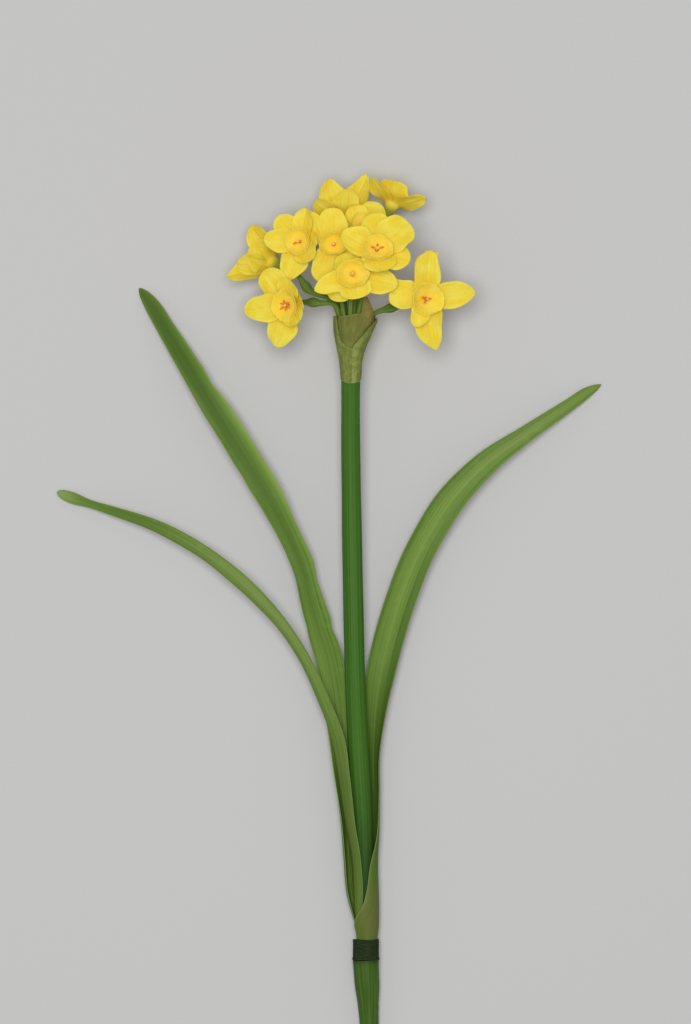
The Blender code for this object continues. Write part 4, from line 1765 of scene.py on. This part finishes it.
    def whorl_surface(self, whorl: Whorl) -> Surface:
        """Three petals on their tube, woven into one sheet and thickened.

        Args:
            whorl: Which whorl.

        Returns:
            The closed shell.
        """
        shape = whorl.value
        petals = sorted(self.outer if whorl is Whorl.OUTER else self.inner, key=lambda p: p.turn)
        sectors = self.sectors(petals)
        ring = sectors[:, :-1].ravel()
        fine = np.linspace(0.0, 1.0, 22)
        rings = np.array([(radius, height, 0.0) for radius, height in (*shape.tube, shape.throat)])
        radius, height, _ = np.hsplit(through(rings, fine), 3)
        height = height + 0.0 * ring
        tube_points = np.stack([radius * np.cos(ring), radius * np.sin(ring), height], axis=-1)
        numbers = np.arange(height.size).reshape(height.shape)
        closed = np.hstack([numbers, numbers[:, :1]])
        woven = [weave(closed, np.linspace(0.0, 3.0, closed.shape[1])[None, :], 0.2 * fine[:, None] - 0.2)]
        blocks = [tube_points.reshape(-1, 3)]
        zero = np.zeros(height.size)
        # The tube's "depth" tone and the petals' golden bases are partly the throat's own gold and partly
        # painted shade deep in the flower.
        tones = {"depth": [zero + 0.45], "margin": [zero], "foot": [1 - ease(-5.0, -0.6, height).ravel()]}
        thick = [zero + self.PETAL_WALL]
        t = self.across()
        for k, petal in enumerate(petals):
            points, share = self.petal(petal, sectors[k][None, :], shape)
            s = share[1:]
            first = sum(len(block) for block in blocks)
            fresh = first + np.arange(s.size * t.size).reshape(s.size, t.size)
            base = numbers[-1, (k * self.COLUMNS + np.arange(t.size)) % len(ring)]
            woven.append(weave(np.vstack([base, fresh]), (t + 1) / 2, share))
            blocks.append(points[1:].reshape(-1, 3))
            # Golden towards the petal's base: partly the throat's own gold, partly painted shade.
            tones["depth"].append((0.75 * (1 - ease(0.0, 0.62, s)) ** 1.3 + 0.0 * t).ravel())
            tones["margin"].append((0.8 * ease(0.72, 1.0, np.abs(t)) * ease(0.1, 0.4, s)).ravel())
            tones["foot"].append(np.zeros(s.size * t.size))
            wall = (self.PETAL_WALL - self.PETAL_THINS * np.abs(t) ** 3) * (1 - 0.35 * s)
            thick.append(wall.ravel())
        surface = Surface(
            self.placed(np.vstack(blocks)),
            np.vstack([quads for quads, _ in woven]),
            np.concatenate([uv for _, uv in woven]),
            {name: np.concatenate(parts) for name, parts in tones.items()},
        )
        return thicken(surface, np.concatenate(thick))

    def corona_surface(self) -> Surface:
        """The cup: a turned profile, with lobes, radial folds and a rolled rim.

        r = profile + v^2 lobes, h = profile + v^2 waves, where v runs from the throat to the rim.

        Returns:
            The closed shell.
        """
        v = np.linspace(0.0, 1.0, 30)[:, None]
        rings = np.array([(radius, height, 0.0) for radius, height in self.CUP])
        radius, height, _ = np.hsplit(through(rings, v[:, 0]), 3)
        angle = around(108)
        phase = math.radians(self.cup_turn)
        lobes, waves = ripples(self.LOBES, angle, phase), ripples(self.RIM_WAVES, angle, phase)
        gap = np.angle(np.exp(1j * (angle - math.radians(self.cup_fold[0]))))
        fold = self.cup_fold[1] * (hump(0.0, 0.10, gap) - 0.5 * hump(0.22, 0.16, gap))
        creases = self.CREASE * np.cos(24 * angle + 2 * np.sin(angle)) * ease(0.1, 0.6, v)
        radius = radius + v**2 * (lobes - fold) + creases
        height = height + v**2 * waves - self.RIM_ROLL * ease(0.9, 1.0, v) + creases
        wide, tall = (1 + (scale - 1) * v for scale in self.cup_scale)
        local = np.stack([radius * wide * np.cos(angle), radius * tall * np.sin(angle), height], axis=-1)
        # Painted shade: golden deep inside the cup; painted highlight: paler along the rim.
        tones = {
            "depth": 0.75 * (1 - ease(0.05, 0.85, v)),
            "margin": 0.9 * ease(0.86, 1.0, v),
            "foot": np.zeros((1, 1)),
        }
        wall = self.CUP_WALL - self.CUP_THINS * ease(0.7, 1.0, v) + 0.0 * angle
        return thicken(sheet(self.placed(local), tones, closed=True), wall)

    def anther_surface(self) -> Surface:
        """The pollen sacs: spindles, radius SAC sin(pi s)^0.6.

        Returns:
            The closed sacs.
        """
        s = np.linspace(0.015, 0.985, 16)
        sacs = []
        for sac in self.anthers:
            middle, along = sac.axis()
            path = middle + (s[:, None] - 0.5) * sac.length * along
            sacs.append(tube(self.placed(path), self.SAC * np.sin(math.pi * s) ** 0.6, 14))
        return joined(sacs)

    def style_surface(self) -> Surface:
        """The style with its knobbed stigma, and a bowed filament under each pollen sac.

        Returns:
            The closed rods.
        """
        s = np.linspace(0.0, 1.0, 24)
        path = (self.STYLE_FOOT + self.STYLE * s[:, None]) * UP
        rods = [tube(self.placed(path), self.KNOB[0] + self.KNOB[1] * hump(0.97, 0.05, s), 16)]
        for sac in self.anthers:
            middle, along = sac.axis()
            foot = sac.foot()
            end = middle - 0.4 * sac.length * along
            outward = unit(foot * (1.0, 1.0, 0.0))
            bow = self.FILAMENT_BOW * np.sin(math.pi * s)[:, None] * outward
            path = foot + s[:, None] * (end - foot) + bow
            rods.append(tube(self.placed(path), np.full(len(s), self.FILAMENT), 10))
        return joined(rods)

    def stalk_surface(self) -> Surface:
        """The stalk: a tube on a smooth path, swollen by a bell at the ovary.

        Returns:
            The closed solid, darker at the ovary.
        """
        seat = np.array((self.CROWN[0] + self.seat[0], self.CROWN[1], self.CROWN[2] + self.seat[1]))
        out = self.axes()[2]
        end = np.array(self.throat) - (self.TUBE + 0.05) * out
        route = np.vstack([seat, *self.bends, end - self.STRAIGHT * out, end])
        path = through(route, np.linspace(0.0, 1.0, 90))
        steps = np.linalg.norm(np.diff(path, axis=0), axis=1)
        left = np.append(np.cumsum(steps[::-1])[::-1], 0.0)[:, None]
        angle = around(30)
        swell = hump(self.ovary, 0.42 * self.OVARY_LENGTH, left)
        radius = self.STALK + (self.OVARY - self.STALK) * swell + 0.35 * hump(0.0, 1.6, left)
        radii = radius * (1 + 0.05 * swell * np.cos(3 * angle) + 0.012 * np.cos(9 * angle))
        tones = {"dark": 0.35 * swell + 0.0 * angle, "pale": 0.5 * hump(0.0, 3.0, left) + 0.0 * angle}
        return tube(path, radii, angle.size, tones)

    def build(self, looks: FloretLooks) -> None:
        """Adds the floret's pieces.

        Args:
            looks: Their materials.
        """
        node = f"{self.name}_floret"
        add_piece(f"{node}_pedicel", self.stalk_surface(), looks.stalk, "stem_green", f"{node}_stalk")
        for whorl in Whorl:
            word = whorl.value.word
            surface = self.whorl_surface(whorl)
            add_piece(f"{node}_{word}_whorl", surface, looks.petal, "petal_yellow", f"{node}_{word}_petals")
        add_piece(f"{node}_cup", self.corona_surface(), looks.corona, "corona_yellow", f"{node}_corona")
        pollen = looks.style if self.shed else looks.anther
        add_piece(f"{node}_anthers", self.anther_surface(), pollen, "anther_orange", f"{node}_stamens")
        add_piece(f"{node}_style", self.style_surface(), looks.style, "petal_yellow", f"{node}_stamens")


# The ten florets, from the right and the near side to the far side.
UMBEL = (
    Floret(
        "right", (37.3, 377.3, 44.0), (0.28, -0.05, 0.96), (4.8, -1.2),
        ((5.6, 364.0, 27.5), (12.6, 370.4, 29.0), (22.0, 373.4, 29.5)), 17.5,
        outer=(
            Petal(88, 24.0, -4, width=0.8, curl=4, point=0.5, taper=9.0, skew=-1.0),
            Petal(168, 18.5, -12, width=1.0, cup=-4, point=0.4, taper=9.0),
            Petal(276, 27, -6, width=1.12, curl=-10, point=0.8, taper=2.8, skew=0.5),
        ),
        inner=(
            Petal(9, 26.4, 0, curl=-8, point=0.68, taper=3.2, skew=-0.2),
            Petal(86, 24.7, 6, width=1.0, curl=-6, bow=0.9, point=0.6, taper=3.4),
            Petal(246, 16, 15, width=0.7, cup=8, twist=20, point=0.6),
        ),
        anthers=(
            Anther(165, 2.3, 5.0, 62, 3.0), Anther(225, 1.9, 4.8, 62, 2.8), Anther(8, 0.6, 5.3, 80, 2.8),
            Anther(320, 0.6, 1.6, 10, 2.0), Anther(80, 0.6, 1.4, 10, 2.0), Anther(215, 0.6, 1.6, 10, 2.0),
        ),
        cup_scale=(1.04, 1.04), cup_turn=40.0,
    ),
    Floret(
        "low", (1.25, 389.0, 54.0), (0.0, 0.08, 1.0), (0.0, 4.6),
        ((0.2, 366.0, 33.5), (0.4, 379.0, 36.0)), 5.0,
        outer=(
            Petal(348, 23.8, -12, width=1.02, curl=-6, point=0.62, taper=3.2),
            Petal(112, 13, -30),
            Petal(225, 18.5, -40, curl=6, point=0.6),
        ),
        inner=(
            Petal(48, 9, -8, width=0.7),
            Petal(203, 21, -3, width=0.8, curl=-8, point=0.7, taper=2.8),
            Petal(283, 12.5, -12, width=1.15, point=0.45),
        ),
        anthers=three_anthers(80.0, 1.0, 3.4, 24.0) + three_anthers(20.0, 0.9, 2.2, 14.0), shed=True,
        cup_scale=(1.03, 0.86), cup_turn=10.0, cup_fold=(20.0, 0.9),
    ),
    Floret(
        "front", (13.2, 400.6, 57.0), (0.08, 0.28, 0.95), (3.0, 3.6),
        ((3.6, 366.0, 32.5), (8.0, 384.0, 36.0)), 5.0,
        outer=(
            Petal(90, 20.5, -6, width=1.05, point=0.45, taper=5.0),
            Petal(345, 17.6, 0, width=1.05, curl=-8, point=0.55, taper=3.2),
            Petal(225, 9, -30, width=0.6),
        ),
        inner=(
            Petal(44, 22, 0, width=1.28, curl=-6, point=0.42, taper=5.0),
            Petal(158, 20, 12, width=1.1, cup=4, curl=-8, point=0.6, taper=3.2),
            Petal(282, 13, 20, width=1.2),
        ),
        anthers=(
            Anther(90, 1.6, 5.2, 30, 1.8), Anther(172, 2.3, 5.2, 70, 2.2),
            Anther(8, 2.2, 5.2, 70, 2.0), Anther(130, 0.6, 0.6, 10, 2.0),
            Anther(240, 0.6, 0.6, 10, 2.0), Anther(320, 0.6, 0.6, 10, 2.0),
        ),
        cup_scale=(0.99, 0.84), cup_turn=75.0,
    ),
    Floret(
        "centre", (-8.0, 404.2, 42.0), (-0.05, 0.05, 1.0), (-3.0, 3.6),
        ((-3.0, 368.0, 32.0), (-6.2, 388.0, 30.0)), 5.0,
        outer=(
            Petal(38, 10, -12, width=0.8),
            Petal(275, 17, -16, width=0.8),
            Petal(132, 25, -10, width=0.75, point=0.8, taper=2.6),
        ),
        inner=(
            Petal(94, 18.7, -5, width=1.05, point=0.48),
            Petal(325, 13, -8),
            Petal(252, 20.5, -10, width=1.1, point=0.5),
        ),
        anthers=three_anthers(80.0, 0.6, 0.8, 12.0) + three_anthers(20.0, 0.5, 0.4, 10.0),
        cup_scale=(0.85, 0.68), cup_turn=120.0,
    ),
    Floret(
        "back", (5.6, 412.5, 34.0), (0.12, 0.35, 0.93), (1.6, -0.4),
        ((1.8, 372.0, 27.5), (3.6, 392.0, 22.0)), 5.0,
        outer=(Petal(56, 17, -2), Petal(170, 11, -5, width=0.8), Petal(285, 12, -10, width=0.8)),
        inner=(Petal(110, 12, 8, width=0.9), Petal(352, 15, -2), Petal(230, 10, 0, width=0.8)),
        anthers=three_anthers(80.0, 0.6, 0.8, 12.0) + three_anthers(20.0, 0.5, 0.4, 10.0),
        cup_scale=(0.8, 0.8), cup_turn=20.0,
    ),
    Floret(
        "left", (-24.5, 405.7, 40.0), (-0.3, 0.05, 0.95), (-1.6, -0.6),
        ((-2.6, 370.0, 26.5), (-12.5, 386.0, 24.5)), 5.0,
        outer=(
            Petal(134, 18, 2, width=0.95, point=0.55, taper=3.2),
            Petal(2, 11, 30, width=0.6),
            Petal(251, 20.5, 6, width=1.05, curl=-10, point=0.65, taper=3.0),
        ),
        inner=(
            Petal(175, 19, 5, width=0.9, curl=-6, point=0.6, taper=3.2),
            Petal(76, 17.5, 8, width=0.8, cup=20, twist=-25, point=0.5),
            Petal(306, 15, 34, width=0.9, cup=6),
        ),
        anthers=(
            Anther(215, 1.6, 5.2, 50, 3.0), Anther(95, 0.6, 0.8, 10, 2.0), Anther(335, 0.6, 0.8, 10, 2.0),
            Anther(35, 0.5, 0.6, 10, 2.0), Anther(155, 0.5, 0.6, 10, 2.0), Anther(275, 0.5, 0.6, 10, 2.0),
        ),
        cup_scale=(0.8, 0.86), cup_turn=200.0,
    ),
    Floret(
        "far_left", (-39.0, 396.0, 20.8), (-0.75, 0.32, -0.58), (-4.1, -2.2),
        ((-5.2, 368.0, 26.5), (-9.0, 376.6, 28.5), (-20.0, 381.6, 31.0)), 14.0,
        outer=(
            Petal(222, 16, 28, width=1.3, cup=-16, point=0.5, taper=3.4),
            Petal(192, 20, 26, width=0.9, point=0.5),
            Petal(80, 12, 32),
        ),
        inner=(
            Petal(258, 21.5, 30, point=0.55),
            Petal(171, 24.5, 26, point=0.75, taper=2.8),
            Petal(45, 19.6, 31),
        ),
    ),
    Floret(
        "low_left", (-30.2, 374.4, 41.0), (-0.45, -0.10, 0.88), (-4.5, 1.0),
        ((-5.0, 367.0, 29.5), (-7.8, 374.8, 31.5), (-15.0, 375.4, 32.5)), 10.0,
        outer=(
            Petal(130, 22, 0, width=1.15, curl=-4, point=0.5),
            Petal(251, 23, 0, width=1.2, curl=-6, point=0.6, taper=3.2),
            Petal(15, 11, 34, width=0.9, cup=10),
        ),
        inner=(
            Petal(189, 24.5, 5, width=1.02, curl=-8, point=0.6, taper=3.2),
            Petal(75, 17, 32, width=0.9, cup=18, point=0.55),
            Petal(318, 14, 34, width=1.0, cup=10),
        ),
        anthers=three_anthers(100.0, 1.9, 5.2, 62.0) + three_anthers(40.0, 1.8, 4.6, 62.0),
        cup_scale=(0.86, 1.06), cup_turn=150.0,
    ),
    Floret(
        "top", (-3.5, 418.0, 22.8), (-0.05, 0.78, -0.62), (-1.9, -4.2),
        ((-2.0, 368.0, 22.5), (-3.6, 392.0, 24.0)), 5.0,
        outer=(
            Petal(281, 17.2, 26, width=1.0, point=0.6, taper=3.2),
            Petal(205, 17, 24, width=0.95, point=0.45),
            Petal(65, 22, 24),
        ),
        inner=(
            Petal(240, 22, 27, width=1.2, point=0.7, taper=2.8, skew=0.4),
            Petal(310, 26, 28, width=1.15, point=0.9, taper=2.4, skew=-0.3),
            Petal(100, 19, 27),
        ),
    ),
    Floret(
        "top_right", (21.0, 425.0, 21.9), (0.35, 0.85, -0.30), (1.9, -4.2),
        ((2.6, 371.0, 23.0), (8.0, 396.0, 20.0)), 5.0,
        outer=(
            Petal(214, 18, 26, cup=-4, point=0.65, taper=3.0),
            Petal(334, 19, 25, width=1.1, cup=-4, point=0.8, taper=2.8),
            Petal(85, 23, 30),
        ),
        inner=(Petal(264, 15.5, 28.5, width=1.1, point=0.42), Petal(2, 17.5, 30), Petal(140, 20, 29)),
    ),
)


# ---------------------------------------------------------------- floor, light and camera


@dataclass(frozen=True)
class Studio:
    """A plain pale floor under soft light, seen from straight above.

    Attributes:
        floor_size: The floor's side, m.
        floor_tone: Its grey, as a share of the light that it returns.
        middle: Where the camera looks, mm on the design axes.
        height: The camera's height over the middle, m.
        lens: The camera's focal length, mm.
        sensor: The longer side of its sensor, mm.
        ambient: The strength of the light from all round.
        lamp: The strength of the large soft lamp, W.
        lamp_size: The lamp's diameter, m.
        lamp_place: Where it hangs, m.
        lamp_colour: Its colour, a little warm.
    """

    floor_size: float = 12.0
    floor_tone: float = 0.56
    middle: Point = (-2.25, 271.0, 30.0)
    height: float = 4.266
    lens: float = 300.0
    sensor: float = 36.0
    ambient: float = 0.33
    lamp: float = 62.0
    lamp_size: float = 1.3
    lamp_place: Point = (-0.12, 0.22, 3.0)
    lamp_colour: Colour = (1.0, 0.992, 0.984)

    def floor(self) -> None:
        """Adds the floor at the height of zero, with a faint grain."""
        half = self.floor_size / 2
        corners = [(-half, -half, 0), (half, -half, 0), (half, half, 0), (-half, half, 0)]
        mesh = bpy.data.meshes.new("pale_floor")
        mesh.from_pydata(corners, [], [(0, 1, 2, 3)])
        shader = Shader("floor_paper", roughness=0.9, specular=0.1)
        grain = shader.noise(shader.place(Space.OBJECT), 900.0, 2.0)
        darker, lighter = self.floor_tone * 0.985, self.floor_tone * 1.015
        colour = shader.blend(grain, (darker,) * 3, (lighter,) * 3)
        mesh.materials.append(shader.close(colour, grain, 0.05, 0.05))
        plane = bpy.data.objects.new("pale_floor", mesh)
        bpy.context.scene.collection.objects.link(plane)

    def light(self) -> None:
        """Sets the even ambient light and adds a large lamp above the head's side."""
        world = bpy.data.worlds.new("soft_room")
        world.use_nodes = True
        ground = world.node_tree.nodes["Background"]
        ground.inputs["Color"].default_value = (1.0, 1.0, 1.0, 1.0)
        ground.inputs["Strength"].default_value = self.ambient
        bpy.context.scene.world = world
        lamp = bpy.data.lights.new("soft_lamp", "AREA")
        lamp.shape = "DISK"
        lamp.size = self.lamp_size
        lamp.energy = self.lamp
        lamp.color = self.lamp_colour
        holder = bpy.data.objects.new("soft_lamp", lamp)
        holder.location = self.lamp_place
        x, y, z = self.lamp_place
        holder.rotation_euler = (math.atan2(math.hypot(x, y), z), 0.0, math.atan2(x, -y))
        holder.visible_camera = False
        bpy.context.scene.collection.objects.link(holder)

    def camera(self) -> None:
        """Adds the camera, level over the middle, with the head at the top."""
        lens = bpy.data.cameras.new("overhead_camera")
        lens.type = "PERSP"
        lens.lens = self.lens
        lens.sensor_width = self.sensor
        lens.sensor_fit = "AUTO"
        lens.clip_end = 20.0
        camera = bpy.data.objects.new("overhead_camera", lens)
        x, y, z = (np.array(self.middle) + design_shift()) * MM
        camera.location = (x, y, z + self.height)
        bpy.context.scene.collection.objects.link(camera)
        scene = bpy.context.scene
        scene.camera = camera
        scene.view_settings.view_transform = "Standard"
        scene.view_settings.look = "None"

    def build(self) -> None:
        """Adds the floor, the lights and the camera."""
        self.floor()
        self.light()
        self.camera()


# ---------------------------------------------------------------- the whole stem


def floret_looks() -> FloretLooks:
    """The materials that all the florets share.

    Returns:
        One material for each kind of piece.
    """
    green = (srgb(80, 112, 42), srgb(118, 138, 60), srgb(60, 90, 32))
    yellow = (srgb(240, 212, 60), srgb(244, 222, 84), srgb(222, 188, 44), srgb(134, 146, 54))
    golden = (srgb(244, 214, 62), srgb(246, 224, 92), srgb(243, 202, 68), srgb(150, 156, 60))
    return FloretLooks(
        stalk=GreenFinish("stalk_green", *green, lines=12.0).material(),
        petal=PetalFinish("petal_yellow", *yellow, veins=26.0).material(),
        corona=PetalFinish("corona_yellow", *golden, veins=60.0).material(),
        anther=PollenFinish("anther_orange", srgb(226, 118, 40), srgb(240, 146, 60), 2600.0).material(),
        style=PollenFinish("style_cream", srgb(240, 205, 96), srgb(244, 190, 100), 900.0).material(),
    )


def main() -> None:
    """Builds the stem, the leaves, the spathe and the florets, then the studio round them."""
    logging.basicConfig(level=logging.INFO, format="%(message)s")
    foot = GreenFinish("foot_green", srgb(55, 88, 25), srgb(74, 104, 38), srgb(34, 52, 18), lines=34.0)
    scape = GreenFinish("scape_green", srgb(54, 97, 28), srgb(72, 113, 40), srgb(30, 54, 18), lines=40.0)
    leaf_green = LeafFinish(
        "leaf_green",
        body=srgb(102, 134, 50),
        light=srgb(124, 154, 70),
        dark=srgb(74, 102, 36),
        edge=srgb(146, 162, 98),
        brown=srgb(112, 100, 58),
    ).material()
    tape = CrepeFinish("tape_green", body=srgb(32, 45, 24), crest=srgb(52, 64, 38)).material()
    paper = PaperFinish(
        "spathe_paper",
        fresh=srgb(114, 124, 60),
        light=srgb(142, 156, 82),
        dry=srgb(102, 104, 48),
        tan=srgb(146, 130, 76),
    ).material()
    looks = floret_looks()
    Stem().build(foot.material(), scape.material())
    BindingTape().build(tape)
    for leaf in (RIGHT_LEAF, LEFT_LONG_LEAF, LEFT_LOW_LEAF):
        leaf.build(leaf_green)
    Spathe().build(paper)
    for floret in UMBEL:
        floret.build(looks)
    Studio().build()


if __name__ == "__main__":
    main()
